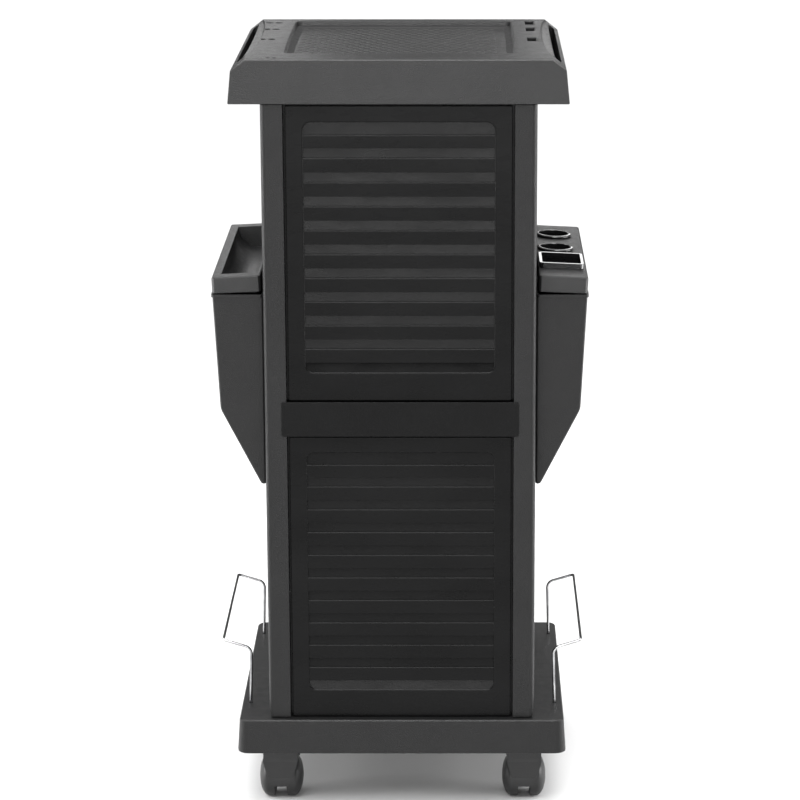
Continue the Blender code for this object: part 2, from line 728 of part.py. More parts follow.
def deck_cavities():
    """What is hollow under the deck: one broad space, and pockets beside the recess."""
    cavity_top = DECK_FLOOR - DECK_PLATE
    pocket_top = HEIGHT - DECK_PLATE
    y_range = (-DECK_CAVITY_LENGTH, DECK_CAVITY_LENGTH)
    x_range = (-DECK_CAVITY_HALF, DECK_CAVITY_HALF)
    cavities = [box("cavity", x_range, y_range, (TOP_BOTTOM - PAST, cavity_top))]
    for side in SIDES.values():
        x_range = mirrored(side, DECK_POCKET_INNER, DECK_POCKET_OUTER)
        pocket_y = (-DECK_CAVITY_LENGTH + 0.001, DECK_CAVITY_LENGTH - 0.001)
        cavities.append(box("pocket", x_range, pocket_y, (cavity_top - 0.002, pocket_top)))
    front_y = (-DECK_CAVITY_LENGTH + 0.002, DECK_RECESS_FRONT - DECK_PLATE)
    front_x = (-DECK_POCKET_INNER - 0.002, DECK_POCKET_INNER + 0.002)
    cavities.append(box("pocket", front_x, front_y, (cavity_top - 0.003, pocket_top - 0.0005)))
    return cavities


def deck_openings():
    """Hand slots, round tool holes on the left and square sockets on the right."""
    low, high = TOP_BOTTOM - PAST, HEIGHT + PAST
    hole_low = DECK_FLOOR - 2 * DECK_PLATE
    cutters = []
    for side in SIDES.values():
        slot_x = mirrored(side, SLOT_INNER, SLOT_OUTER)
        outline = rounded_rectangle(slot_x, (SLOT_FRONT, SLOT_REAR), SLOT_RADIUS, 3)
        cutters.append(prism("slot", outline, low, high, "Z"))
    for y in TOOL_HOLE_ROWS:
        for x in TOOL_HOLE_X:
            cutters.append(cylinder("hole", (-x, y), TOOL_HOLE_RADIUS, hole_low, high, "Z", 16))
        outline = rounded_rectangle(SOCKET_X, (y - SOCKET_HALF_LENGTH, y + SOCKET_HALF_LENGTH), 0.002, 2)
        cutters.append(prism("socket", outline, hole_low, high, "Z"))
    for x in SMALL_HOLE_X:
        cutters.append(cylinder("hole", (-x, SMALL_HOLE_Y), SMALL_HOLE_RADIUS, hole_low, high, "Z", 12))
    return cutters


def build_deck(material):
    half_length = TOP_HALF_LENGTH - FASCIA_THICKNESS - GAP
    deck = prism("top_deck", top_outline(), -half_length, half_length, "Y")
    combine(deck, "DIFFERENCE", deck_cavities())
    combine(deck, "DIFFERENCE", [deck_recess(), hand_scoop(-1), hand_scoop(1)])
    combine(deck, "DIFFERENCE", deck_openings())
    return dress(deck, material)


def build_fascia(name, end, material):
    inner = TOP_HALF_LENGTH - FASCIA_THICKNESS
    fascia = prism(name, top_outline(), *sorted((end * inner, end * TOP_HALF_LENGTH)), "Y")
    bevel(fascia, 0.0012)
    return dress(fascia, material)


def hopper_outline(offset=0.0):
    """Half section of a hopper on the +X side. An offset moves its walls inwards."""
    rim_x, knee_x = BIN_RIM_X - offset, BIN_KNEE_X - offset
    slope = math.atan2(BIN_FOOT_X - BIN_KNEE_X, BIN_KNEE_Z - BIN_FOOT_Z)
    radius = BIN_KNEE_RADIUS - offset
    centre = (knee_x - radius, BIN_KNEE_Z - offset * 0.5)
    turn = math.degrees(slope)
    inner = BIN_INNER + (BIN_INNER_WALL if offset else 0.0)
    top = BIN_RIM + (PAST if offset else 0.0)
    outline = [(inner, top), (rim_x, top)]
    outline += arc(centre, radius, 0.0, turn, 4)
    knee_end = outline[-1]
    run = (knee_end[1] - BIN_FOOT_Z - offset) * math.tan(-slope)
    outline.append((knee_end[0] - run, BIN_FOOT_Z + offset))
    outline.append((inner, BIN_FOOT_Z + offset))
    return outline


def build_bin(side_name, material):
    """A hopper with a rim lip, which hangs on the side panel by two hooks."""
    side = SIDES[side_name]
    rear = BIN_REAR[side_name]
    outline = [(side * x, z) for x, z in hopper_outline()]
    hopper = prism(f"hopper_bin_{side_name}", outline, BIN_FRONT, rear, "Y")
    bevel(hopper, BIN_BEVEL, 3)
    lip_x = mirrored(side, BIN_INNER + 0.0001, BIN_RIM_X + LIP)
    lip_outline = rounded_rectangle(lip_x, (BIN_FRONT - LIP, rear + LIP), BIN_BEVEL, 3)
    lip = prism("lip", lip_outline, BIN_RIM - LIP_HEIGHT, BIN_RIM, "Z")
    combine(hopper, "UNION", [lip] + bin_hooks(side))
    inside = [(side * x, z) for x, z in hopper_outline(BIN_WALL)]
    cut = prism("inside", inside, BIN_FRONT + BIN_WALL, rear - BIN_WALL, "Y")
    combine(hopper, "DIFFERENCE", [cut])
    set_origin(hopper, (side * BODY_HALF_WIDTH, 0.0, HOOK_NECK[0]))
    return dress(hopper, material)


def bin_hooks(side):
    hooks = []
    neck_x = mirrored(side, HOOK_TIP_X[0] + 0.0005, BIN_INNER + BITE)
    tip_x = mirrored(side, *HOOK_TIP_X)
    for y in (-HOOK_Y, HOOK_Y):
        half = HOOK_WIDTH / 2
        hooks.append(box("neck", neck_x, (y - half, y + half), HOOK_NECK))
        half -= HOOK_TIP_INSET
        tip_z = (HOOK_TIP_BOTTOM, HOOK_NECK[1] - HOOK_TIP_INSET)
        hooks.append(box("tip", tip_x, (y - half, y + half), tip_z))
    return hooks


def tray_block(name, side, rear):
    """The plain block of a tray, in the tray's own frame: z is 0 at its lower edge."""
    outline = rounded_rectangle(mirrored(side, TRAY_INNER, TRAY_OUTER), (BIN_FRONT, rear), 0.003, 2)
    return bevel(prism(name, outline, 0.0, TRAY_HEIGHT, "Z"), TRAY_BEVEL)


def seat_on_bin(obj, side):
    """Moves a piece from the tray's frame onto the bin: it tips about its outer lower edge."""
    pivot = Vector((side * TRAY_OUTER, 0.0, 0.0))
    turn = math.radians(side * TRAY_TILT)
    cosine, sine = math.cos(turn), math.sin(turn)
    for vertex in obj.data.vertices:
        x, z = vertex.co.x - pivot.x, vertex.co.z
        vertex.co.x = pivot.x + x * cosine + z * sine
        vertex.co.z = BIN_RIM + GAP - x * sine + z * cosine
    return obj


def tray_feet(side):
    """Pads under the tray's inner edge that carry it on the hopper's rim."""
    raise_by = (TRAY_OUTER - TRAY_INNER) * math.sin(math.radians(TRAY_TILT))
    feet = []
    for y in (-HOOK_Y, HOOK_Y):
        y_range = (y - FOOT_HALF_LENGTH, y + FOOT_HALF_LENGTH)
        feet.append(box("foot", mirrored(side, *FOOT_X), y_range, (-raise_by + GAP, FOOT_TOP)))
    return feet


def trough_outline(side, radius, inner, top, steps=10):
    """A round-bottomed channel along the tray, cut off by a flat wall next to the tower."""
    reach = math.degrees(math.acos((TROUGH_X - inner) / radius))
    outline = arc((TROUGH_X, TROUGH_Z), radius, 0, -180 + reach, steps)
    outline += [(inner, top), (TROUGH_X + radius, top)]
    return [(side * x, z) for x, z in outline]


def build_trough_tray(side_name, material):
    side = SIDES[side_name]
    rear = BIN_REAR[side_name]
    tray = tray_block(f"trough_tray_{side_name}", side, rear)
    shell = trough_outline(side, TROUGH_RADIUS + TROUGH_SHELL, TROUGH_INNER - 0.0018, TRAY_HEIGHT - 0.0004)
    pan = prism("pan", shell, BIN_FRONT + TROUGH_END - TROUGH_SHELL, rear - TROUGH_END + TROUGH_SHELL, "Y")
    combine(tray, "UNION", [pan] + tray_feet(side))
    channel = trough_outline(side, TROUGH_RADIUS, TROUGH_INNER, TRAY_HEIGHT + PAST)
    cut = prism("channel", channel, BIN_FRONT + TROUGH_END, rear - TROUGH_END, "Y")
    combine(tray, "DIFFERENCE", [cut])
    return dress(seat_on_bin(tray, side), material)


def build_holder_tray(side_name, material):
    """A flat tray, hollow underneath, with openings for two round cups and a square one."""
    side = SIDES[side_name]
    rear = BIN_REAR[side_name]
    tray = tray_block(f"holder_tray_{side_name}", side, rear)
    hollow_x = mirrored(side, TRAY_INNER + 0.0015, TRAY_OUTER - 0.0025)
    hollow_y = (BIN_FRONT + 0.0025, rear - 0.0025)
    hollow = box("hollow", hollow_x, hollow_y, (-PAST, TRAY_HEIGHT - TRAY_PLATE))
    combine(tray, "DIFFERENCE", [hollow])
    combine(tray, "UNION", tray_feet(side))
    low, high = TRAY_HEIGHT - 2 * TRAY_PLATE, TRAY_HEIGHT + PAST
    cuts = [box_cup_prism("opening", side, -BOX_CUP_COLLAR + GAP, low, high)]
    for y in CUP_ROWS:
        cuts.append(cylinder("opening", (side * CUP_X, y), CUP_BODY_RADIUS + GAP, low, high, "Z", 28))
    return dress(seat_on_bin(combine(tray, "DIFFERENCE", cuts), side), material)


def build_round_cup(name, side, y, material):
    centre = (side * CUP_X, y)
    top = TRAY_HEIGHT + CUP_COLLAR_HEIGHT
    bottom = TRAY_HEIGHT - CUP_DEPTH
    cup = cylinder(name, centre, CUP_BODY_RADIUS, bottom, TRAY_HEIGHT + BITE, "Z", 28)
    collar = cylinder("collar", centre, CUP_COLLAR_RADIUS, TRAY_HEIGHT + GAP, top, "Z", 28)
    combine(cup, "UNION", [collar])
    inside = cylinder("inside", centre, CUP_BODY_RADIUS - CUP_WALL, bottom + CUP_WALL, top + PAST, "Z", 28)
    combine(cup, "DIFFERENCE", [inside])
    return dress(seat_on_bin(cup, side), material)


def box_cup_prism(name, side, spread, low, high):
    x_range = mirrored(side, BOX_CUP_X[0] - spread, BOX_CUP_X[1] + spread)
    y_range = (BOX_CUP_Y[0] - spread, BOX_CUP_Y[1] + spread)
    return prism(name, rounded_rectangle(x_range, y_range, BOX_CUP_RADIUS + spread, 3), low, high, "Z")


def build_box_cup(name, side, material):
    top = TRAY_HEIGHT + BOX_CUP_COLLAR_HEIGHT
    bottom = TRAY_HEIGHT - BOX_CUP_DEPTH
    cup = box_cup_prism(name, side, -BOX_CUP_COLLAR, bottom, TRAY_HEIGHT + BITE)
    combine(cup, "UNION", [box_cup_prism("collar", side, 0.0, TRAY_HEIGHT + GAP, top)])
    inside = box_cup_prism("inside", side, -BOX_CUP_COLLAR - CUP_WALL, bottom + CUP_WALL, top + PAST)
    combine(cup, "DIFFERENCE", [inside])
    return dress(seat_on_bin(cup, side), material)


def rounded_path(corners, steps=5):
    """Points along straight runs whose corners, given as (point, radius), are rounded."""
    path = [Vector(corners[0][0])]
    for (before, _), (corner, radius), (after, _) in zip(corners, corners[1:], corners[2:]):
        corner = Vector(corner)
        inward = (Vector(before) - corner).normalized()
        outward = (Vector(after) - corner).normalized()
        half_angle = inward.angle(outward) / 2
        reach = radius / math.tan(half_angle)
        start, end = corner + inward * reach, corner + outward * reach
        centre = corner + (inward + outward).normalized() * (radius / math.sin(half_angle))
        first, last = (start - centre).normalized(), (end - centre).normalized()
        path += [centre + first.slerp(last, index / steps) * radius for index in range(steps + 1)]
    path.append(Vector(corners[-1][0]))
    return path


def wire_corners(side):
    shoulder, corner = WIRE_SHOULDER_RADIUS, WIRE_CORNER_RADIUS
    foot_x, shoulder_x, bar_x = side * WIRE_FOOT_X, side * WIRE_SHOULDER_X, side * WIRE_BAR_X
    return [
        ((foot_x, WIRE_FRONT, WIRE_FOOT_Z), 0.0),
        ((foot_x, WIRE_FRONT, BASE_TOP + 0.002), 0.05),
        ((shoulder_x, WIRE_FRONT, WIRE_SHOULDER_Z), shoulder),
        ((bar_x, WIRE_FRONT, WIRE_BAR_Z), corner),
        ((bar_x, WIRE_REAR, WIRE_BAR_Z), corner),
        ((shoulder_x, WIRE_REAR, WIRE_SHOULDER_Z), shoulder),
        ((foot_x, WIRE_REAR, BASE_TOP + 0.002), 0.05),
        ((foot_x, WIRE_REAR, WIRE_FOOT_Z), 0.0),
    ]


def build_wire_rack(side_name, material):
    name = f"wire_rack_{side_name}"
    curve = bpy.data.curves.new(name, "CURVE")
    curve.dimensions = "3D"
    curve.bevel_depth = WIRE_RADIUS
    curve.bevel_resolution = 2
    curve.use_fill_caps = True
    spline = curve.splines.new("POLY")
    path = rounded_path(wire_corners(SIDES[side_name]))
    spline.points.add(len(path) - 1)
    for point, place in zip(spline.points, path):
        point.co = (*place, 1.0)
    rack = bpy.data.objects.new(name, curve)
    bpy.context.collection.objects.link(rack)
    return dress(rack, material)


def main():
    clear_scene()
    shell = plastic("black_plastic", 0.035, 0.55)
    louvre = plastic("louvre_plastic", 0.020, 0.40)
    drawer = plastic("drawer_plastic", 0.028, 0.50)
    hood = plastic("caster_plastic", 0.040, 0.45)
    tyre = plastic("wheel_plastic", 0.030, 0.50)
    cup = plastic("gloss_plastic", 0.008, 0.12)
    steel = finish("zinc_steel", (0.60, 0.60, 0.60), 0.30, 1.0)
    chrome = finish("chrome", (0.80, 0.80, 0.80), 0.08, 1.0)

    build_base(shell)
    build_casters(hood, tyre, steel)
    for side_name in SIDES:
        build_side_panel(side_name, shell)
        build_bin(side_name, shell)
        build_wire_rack(side_name, chrome)
    build_louvre_panel("louvre_panel_lower", LOWER_PANEL_BOTTOM, louvre)
    build_louvre_panel("louvre_panel_upper", UPPER_PANEL_BOTTOM, louvre)
    build_crossbar("crossbar_closed_side", -1, shell)
    build_crossbar("crossbar_drawer_side", 1, shell)
    build_shelf(shell)
    build_screws(steel)
    for name, bottom, top in drawer_levels():
        build_drawer(name, bottom, top, drawer)
    build_deck(shell)
    build_fascia("top_fascia_front", -1, shell)
    build_fascia("top_fascia_rear", 1, shell)
    build_trough_tray("left", shell)
    build_holder_tray("right", shell)
    for number, y in enumerate(CUP_ROWS, 1):
        build_round_cup(f"round_cup_{number}", SIDES["right"], y, cup)
    build_box_cup("square_cup", SIDES["right"], cup)


main()
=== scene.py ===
"""Looks of the spa trolley cart: finer shells, materials, floor, light and camera round the CAD frame.

Metres, in the CAD's own frame: +Z up, the floor at z = 0, the louvred side facing -Y.
"""

import json
import math

import bmesh
import bpy
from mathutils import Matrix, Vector


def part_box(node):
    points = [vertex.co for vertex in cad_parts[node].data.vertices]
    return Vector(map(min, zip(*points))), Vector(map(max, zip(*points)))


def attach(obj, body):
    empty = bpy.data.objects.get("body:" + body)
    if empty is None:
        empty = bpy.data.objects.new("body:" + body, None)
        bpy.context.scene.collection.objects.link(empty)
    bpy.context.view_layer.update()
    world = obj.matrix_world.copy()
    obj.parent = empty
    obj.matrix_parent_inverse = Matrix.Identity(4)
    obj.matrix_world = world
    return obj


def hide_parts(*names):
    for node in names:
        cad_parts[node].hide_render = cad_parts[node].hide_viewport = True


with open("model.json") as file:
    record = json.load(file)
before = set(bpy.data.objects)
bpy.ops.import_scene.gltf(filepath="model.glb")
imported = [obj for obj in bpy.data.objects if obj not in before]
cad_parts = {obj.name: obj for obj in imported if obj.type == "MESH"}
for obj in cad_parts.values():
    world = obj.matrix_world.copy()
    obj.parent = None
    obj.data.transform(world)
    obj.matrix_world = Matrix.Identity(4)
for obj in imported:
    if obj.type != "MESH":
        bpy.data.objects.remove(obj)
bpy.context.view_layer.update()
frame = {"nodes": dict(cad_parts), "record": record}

WELD = 1e-5
FLAT_ANGLE = math.radians(0.3)
SHARP_ANGLE = math.radians(35)
PAST = 0.01

# Top deck
DECK_LOW, DECK_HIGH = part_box("top_deck")
CHAMFER_HALF = 0.1852
CHAMFER_LOW = 0.8676
RIDGE_HALF = 0.1696
RECESS_HALF = 0.128
RECESS_BULGE = 0.0013
RECESS_FRONT = -0.118
RECESS_REAR = 0.155
RECESS_RADIUS = 0.008
RECESS_FLOOR = 0.872
RECESS_STEPS = ((0.0010, 0.0), (0.0052, 0.0016), (0.0056, 0.0024), (0.0076, 0.0078), (0.008, 0.009))
DECK_EDGE = ((0.0, 0.0014), (0.0001, 0.0009), (0.0004, 0.0004), (0.0009, 0.0001), (0.0014, 0.0))
RIM = ((0.0, 0.0012), (0.0002, 0.0007), (0.0005, 0.0003), (0.0009, 0.0))
HOLE_DISH = 0.6
HOLE_LIP = 0.0010
HOLE_LIP_EDGE = 0.0002
HOLE_UNDERCUT = 0.0010
DECK_CORNER_RADIUS = 0.0012
RIDGE_INSET_SHARE = 0.4
DECK_PLATE = 0.003
STAGGER = 0.001
CAVITY_HALF = 0.1655
CAVITY_LENGTH = 0.158
POCKET_RANGE = (0.131, 0.1605)
SLOT_RANGE = (0.173, 0.1805)
SLOT_ENDS = (-0.135, 0.150)
SLOT_RADIUS = 0.0035
SCOOP_CENTRE_Y = 0.020
SCOOP_HALF_SIZE = (0.0115, 0.155, 0.006)
TOOL_ROWS = (-0.005, 0.081, 0.138)
TOOL_HOLE_X = (0.1488, 0.1598)
TOOL_HOLE_RADIUS = 0.0043
SMALL_HOLE_X = (0.1373, 0.1444)
SMALL_HOLE_Y = -0.155
SMALL_HOLE_RADIUS = 0.0022
SOCKET_X = (0.1450, 0.1555)
SOCKET_HALF_LENGTH = 0.015
SOCKET_RADIUS = 0.002
STUD_PITCH = (0.0130, 0.0110)
STUD_HALF_SIZE = (0.0046, 0.0040, 0.0010)
STUD_FIELD = ((-0.1155, 0.1155), (-0.1045, 0.1420))
STUD_SINK = 0.0002
STUD_TILTS = (0.0, 30.0, 60.0)
STUD_SEGMENTS = 12

# Trays and cups
TRAY_OUTER = 0.2115
TRAY_HEIGHT = 0.0192
TRAY_TILT = 2.6
TRAY_SEAT = 0.6118
CUP_X = 0.1785
CUP_ROWS = (0.001, 0.080)
CUP_COLLAR_RADIUS = 0.0215
CUP_COLLAR_HEIGHT = 0.0035
CUP_BODY_RADIUS = 0.0190
CUP_WALL = 0.0015
CUP_DEPTH = 0.045
CUP_SEAT_GAP = 0.0003
CUP_ROLL = CUP_COLLAR_HEIGHT / 2 - 0.00025
CUP_CORNER = 0.0025
CUP_LIP_RADIUS = 0.001

# Louvred panels
PANEL_HALF_WIDTH = 0.126
PANEL_FRONT = -0.166
PANEL_THICKNESS = 0.007
PANEL_FLANGE = 0.0022
PANEL_CORNER = 0.0015
FLANGE_RISE = 0.0012
FLANGE_STEP = 0.0001
PANEL_EDGE = ((0.0, 0.0012), (0.0001, 0.0007), (0.0003, 0.0003), (0.0007, 0.0001), (0.0012, 0.0))
RECESS_HALF_WIDTH = 0.1065
RECESS_CORNER = 0.009
RECESS_TOP_MARGIN = 0.0185
RECESS_LIP = ((-0.004, 0.0018), (0.0, 0.0018), (0.0002, 0.0011), (0.0005, 0.0005), (0.0010, 0.0001))
RECESS_LIP_END = 0.0012
RECESS_REACH = 0.12
RECESS_OVERRUN = 0.002
LOUVRE_OVERCUT = 0.003
LOUVRE_COUNT = 10
LOUVRE_PITCH = 0.0272
LOUVRE_BAND = 0.0110
LOUVRE_DEPTH = 0.0045
LAND_DEPTH = 0.0012
LAND_RADIUS = 0.0016
LAND_FOOT_RADIUS = 0.0005
SLOPE_EASE = (0.0004, 0.0002)
FIRST_LAND_DROP = 0.0143
FIRST_LAND_HEIGHT = 0.0148

# Casters
CASTER_ENDS = {"front": -1, "rear": 1}
SIDES = {"left": -1, "right": 1}
STEM_X = 0.143
STEM_Y = 0.140
TRAIL = 0.017
WHEEL_RADIUS = 0.025
WHEEL_INNER = 0.00675
WHEEL_OUTER = 0.0257
WHEEL_TREAD_END = 0.015
WHEEL_EDGE = 0.0015
WHEEL_WELL = ((0.0, 0.0080), (0.0012, 0.0090), (0.0012, 0.0205), (0.0, 0.0215))
WHEEL_CAP = ((0.0002, 0.0048), (0.0008, 0.0044), (0.0008, 0.0))
WHEEL_BORE_END = 0.0210
AXLE_BORE_RADIUS = 0.0043
AXLE_BORE_REACH = 0.02
HOOD_INNER = 0.0263
HOOD_OUTER = 0.0290
HOOD_HALF_WIDTH = 0.0205
HOOD_TIP_HALF_WIDTH = 0.0090
HOOD_ANGLES = (-55.0, 100.0)
HOOD_TAPER_ANGLE = 10.0
HOOD_CROWN = 0.0006
HOOD_SHOULDER_SHARES = (0.6, 0.3)
HOOD_ROUNDING = 0.0006
HOOD_WEB_HALF = 0.0064
HOOD_WEB_MARGIN = 2.0
HOOD_HUB_RADIUS = 0.0085
HOOD_BOSS_RADIUS = 0.0095
HOOD_BOSS_RANGE = (0.0488, 0.0655)
STEM_BORE_RADIUS = 0.0058
STEM_BORE_BOTTOM = 0.052
NECK_HALF_LENGTH = 0.0092
NECK_BOTTOM = 0.040
NECK_DROP = 0.002
COWL_ANGLES = range(78, 17, -4)
COWL_BITE = 0.0010
COWL_CORNER = (0.0010, 0.0006)
COWL_BOW = 0.0001
COWL_HEAD_DROPS = (0.0095, 0.0005)
COWL_HEAD_SETBACK = 0.0008
COWL_HEAD_OVERLAP = 0.002
COWL_HEAD_NARROWING = 0.0006

# Wire racks
WIRE_RADIUS = 0.00165
WIRE_FOOT_X = 0.1785
WIRE_SHOULDER_X = 0.1768
WIRE_BAR_X = 0.2095
WIRE_ENDS = (-0.117, 0.133)
WIRE_BEND_RADII = (0.05, 0.010, 0.004)
WIRE_FOOT_Z = 0.0985
WIRE_BEND_Z = 0.1145
WIRE_SHOULDER_Z = 0.1800
WIRE_BAR_Z = 0.1900

# Side panels
POST_OUTER = 0.1535
POST_FRONT = 0.169
FOOT_TAPER = (0.0024, 0.0110)
FOOT_TAPER_OVERRUN = (0.0002, 0.001)

# Plastics: grey, roughness, specular level, grain scale, grain depth, variation, stretch of the flow lines
EVEN_FLOW = (1, 1, 1)
SIDEWAYS_FLOW = (0.35, 1, 1)
PLASTICS = {
    "black_plastic": (0.006, 0.38, 0.25, 800.0, 0.0009, 0.12, EVEN_FLOW),
    # A lighter copy of the black plastic: painted light for the fascias and trays
    "lit_copy_plastic": (0.009, 0.38, 0.37, 800.0, 0.0009, 0.12, EVEN_FLOW),
    # A darker, duller copy of the black plastic: painted shade for the crossbars, on a duller plastic of
    # their own
    "dull_shaded_plastic": (0.003, 0.36, 0.10, 800.0, 0.0006, 0.12, EVEN_FLOW),
    "louvre_plastic": (0.003, 0.28, 0.10, 700.0, 0.00012, 0.3, SIDEWAYS_FLOW),
    "drawer_plastic": (0.004, 0.34, 0.22, 700.0, 0.00015, 0.3, SIDEWAYS_FLOW),
    "caster_plastic": (0.007, 0.42, 0.37, 1200.0, 0.0002, 0.12, EVEN_FLOW),
    "wheel_plastic": (0.006, 0.44, 0.42, 1200.0, 0.0002, 0.18, EVEN_FLOW),
}
PLASTIC_BLUE = 1.02
PATCH_SCALE = 22.0
GLOSS_SCALE = 90.0
GLOSS_CHANGE = (0.9, 1.1)
WAVE_SCALE = 28.0
WAVE_STRENGTH = 0.25
WAVE_DEPTH = 0.0004
GRAIN_STRENGTH = 0.6

# Polished plastic and metals: tones and the range of roughness
GLOSS_TONE = (0.008, 0.008, 0.0085)
GLOSS_ROUGHNESS = (0.07, 0.16)
# The dark colour is painted reflection: streaks of dark surroundings painted into the plating; the light
# one is the plating's own colour
CHROME_AND_PAINTED_REFLECTION_TONES = ((0.12, 0.12, 0.13), (0.52, 0.52, 0.52))
CHROME_ROUGHNESS = (0.06, 0.20)
ZINC_TONES = ((0.48, 0.49, 0.52), (0.70, 0.70, 0.68))
ZINC_ROUGHNESS = (0.24, 0.42)

# Edges of the pieces that keep their CAD shape
DRAWERS = [f"deep_drawer_{number}" for number in (1, 2)]
DRAWERS += [f"shallow_drawer_{number}" for number in (1, 2, 3, 4)]
ROUNDINGS = {
    "base_tray": 0.0010,
    "crossbar_closed_side": 0.0005,
    "crossbar_drawer_side": 0.0005,
    "middle_shelf": 0.0004,
    "top_fascia_front": 0.0,
    "top_fascia_rear": 0.0,
    "hopper_bin_left": 0.0007,
    "hopper_bin_right": 0.0007,
    "trough_tray_left": 0.0005,
    "holder_tray_right": 0.0009,
    "square_cup": 0.0006,
}
ROUNDINGS.update({drawer: 0.0005 for drawer in DRAWERS})
THIN_PIECES = (
    "hopper_bin_left",
    "hopper_bin_right",
    "trough_tray_left",
    "holder_tray_right",
    "square_cup",
)
PANEL_ROUNDING = 0.0010

# Floor, sky and lights. A light is its place, target, size and radiance, and the paired ones stand on
# both sides
FLOOR_REACH = 30.0
FLOOR_THICKNESS = 0.02
FLOOR_GREY = 0.58
FLOOR_ROUGHNESS = 0.7
FLOOR_SPECULAR = 0.1
SKY_LOW = 0.12
SKY_HIGH = 2.7
SKY_RAMP = (0.35, 0.80)
SINGLE_LIGHTS = {
    "top_light": ((0.0, -0.8, 2.4), (0.0, -0.3, 0.5), (1.8, 0.7), 14.0),
    "key_light": ((-0.9, -1.7, 1.9), (0.0, -0.1, 0.6), (1.0, 0.8), 9.0),
    "front_light": ((0.0, -4.3, 0.95), (0.0, 0.0, 0.9), (2.6, 0.5), 14.0),
}
PAIRED_LIGHTS = {
    "rear_light": ((0.32, 1.4, 1.02), (0.0, 0.0, 0.88), (0.3, 0.3), 2.5),
    "side_light": ((1.5, -0.1, 0.44), (0.0, -0.1, 0.44), (0.9, 0.84), 9.0),
}

# Camera
CAMERA_PLACE = (0.0681, -3.4887, 1.3570)
CAMERA_PITCH = math.radians(75.425)
CAMERA_SENSOR = 36.0
CAMERA_LENS = 136.62
CAMERA_SHIFT_X = -0.07547

BODY_OF = {node: body for body, nodes in frame["record"]["behaviour"]["bodies"].items() for node in nodes}
SLOT_OF = {entry["node"]: entry["material_slot"] for entry in frame["record"]["subparts"]}

# Pieces that wear a lit or a shaded copy of their slot's plastic. The fascias and trays take the lighter
# copy, painted light; the crossbars take the darker copy, a duller plastic of their own with painted
# shade.
LIT_OR_SHADED_COPY_OF = {
    "top_fascia_front": "lit_copy_plastic",
    "top_fascia_rear": "lit_copy_plastic",
    "trough_tray_left": "lit_copy_plastic",
    "holder_tray_right": "lit_copy_plastic",
    "crossbar_closed_side": "dull_shaded_plastic",
    "crossbar_drawer_side": "dull_shaded_plastic",
}


# Materials


def new_shader(name, colour, roughness, metallic=0.0, specular=0.5):
    material = bpy.data.materials.new(name)
    material.use_nodes = True
    shader = material.node_tree.nodes["Principled BSDF"]
    shader.inputs["Base Color"].default_value = (*colour, 1.0)
    shader.inputs["Roughness"].default_value = roughness
    shader.inputs["Metallic"].default_value = metallic
    shader.inputs["Specular IOR Level"].default_value = specular
    return material, shader


def noise(tree, scale, detail=2.0, stretch=(1.0, 1.0, 1.0)):
    """A noise texture in the object's own metres."""
    place = tree.nodes.new("ShaderNodeTexCoord")
    mapping = tree.nodes.new("ShaderNodeMapping")
    mapping.inputs["Scale"].default_value = stretch
    texture = tree.nodes.new("ShaderNodeTexNoise")
    texture.inputs["Scale"].default_value = scale
    texture.inputs["Detail"].default_value = detail
    tree.links.new(place.outputs["Object"], mapping.inputs["Vector"])
    tree.links.new(mapping.outputs["Vector"], texture.inputs["Vector"])
    return texture.outputs["Fac"]


def spread(tree, value, low, high):
    """Maps the middle of a noise onto a range."""
    node = tree.nodes.new("ShaderNodeMapRange")
    node.inputs["From Min"].default_value = 0.3
    node.inputs["From Max"].default_value = 0.7
    node.inputs["To Min"].default_value = low
    node.inputs["To Max"].default_value = high
    tree.links.new(value, node.inputs["Value"])
    return node.outputs["Result"]


def blend_colours(tree, value, first, second):
    node = tree.nodes.new("ShaderNodeMix")
    node.data_type = "RGBA"
    node.inputs["A"].default_value = (*first, 1.0)
    node.inputs["B"].default_value = (*second, 1.0)
    tree.links.new(value, node.inputs["Factor"])
    return node.outputs["Result"]


def add_bump(tree, shader, value, strength, distance, before=None):
    bump = tree.nodes.new("ShaderNodeBump")
    bump.inputs["Strength"].default_value = strength
    bump.inputs["Distance"].default_value = distance
    tree.links.new(value, bump.inputs["Height"])
    if before:
        tree.links.new(before, bump.inputs["Normal"])
    tree.links.new(bump.outputs["Normal"], shader.inputs["Normal"])
    return bump.outputs["Normal"]


def moulded_plastic(name, grey, roughness, specular, grain, grain_depth, variation, flow):
    """Moulded plastic: a fine spark-eroded grain over faint patches of colour and gloss."""
    colour = (grey, grey, grey * PLASTIC_BLUE)
    material, shader = new_shader(name, colour, roughness, 0.0, specular)
    tree = material.node_tree
    patches = noise(tree, PATCH_SCALE, 4.0, flow)
    darker = tuple(channel * (1 - variation) for channel in colour)
    lighter = tuple(channel * (1 + variation) for channel in colour)
    toned = blend_colours(tree, spread(tree, patches, 0.0, 1.0), darker, lighter)
    tree.links.new(toned, shader.inputs["Base Color"])
    low, high = (roughness * change for change in GLOSS_CHANGE)
    gloss = spread(tree, noise(tree, GLOSS_SCALE, 3.0, flow), low, high)
    tree.links.new(gloss, shader.inputs["Roughness"])
    ripple = noise(tree, WAVE_SCALE, 2.0, flow)
    waves = add_bump(tree, shader, ripple, WAVE_STRENGTH, WAVE_DEPTH)
    add_bump(tree, shader, noise(tree, grain, 3.0), GRAIN_STRENGTH, grain_depth, waves)
    return material


def gloss_plastic(name):
    """Polished black plastic with a thin hard surface and a trace of ripple."""
    material, shader = new_shader(name, GLOSS_TONE, GLOSS_ROUGHNESS[0])
    shader.inputs["Coat Weight"].default_value = 0.5
    shader.inputs["Coat Roughness"].default_value = 0.04
    tree = material.node_tree
    smears = spread(tree, noise(tree, 140.0, 4.0), *GLOSS_ROUGHNESS)
    tree.links.new(smears, shader.inputs["Roughness"])
    add_bump(tree, shader, noise(tree, 60.0), 0.15, 0.0003)
    return material


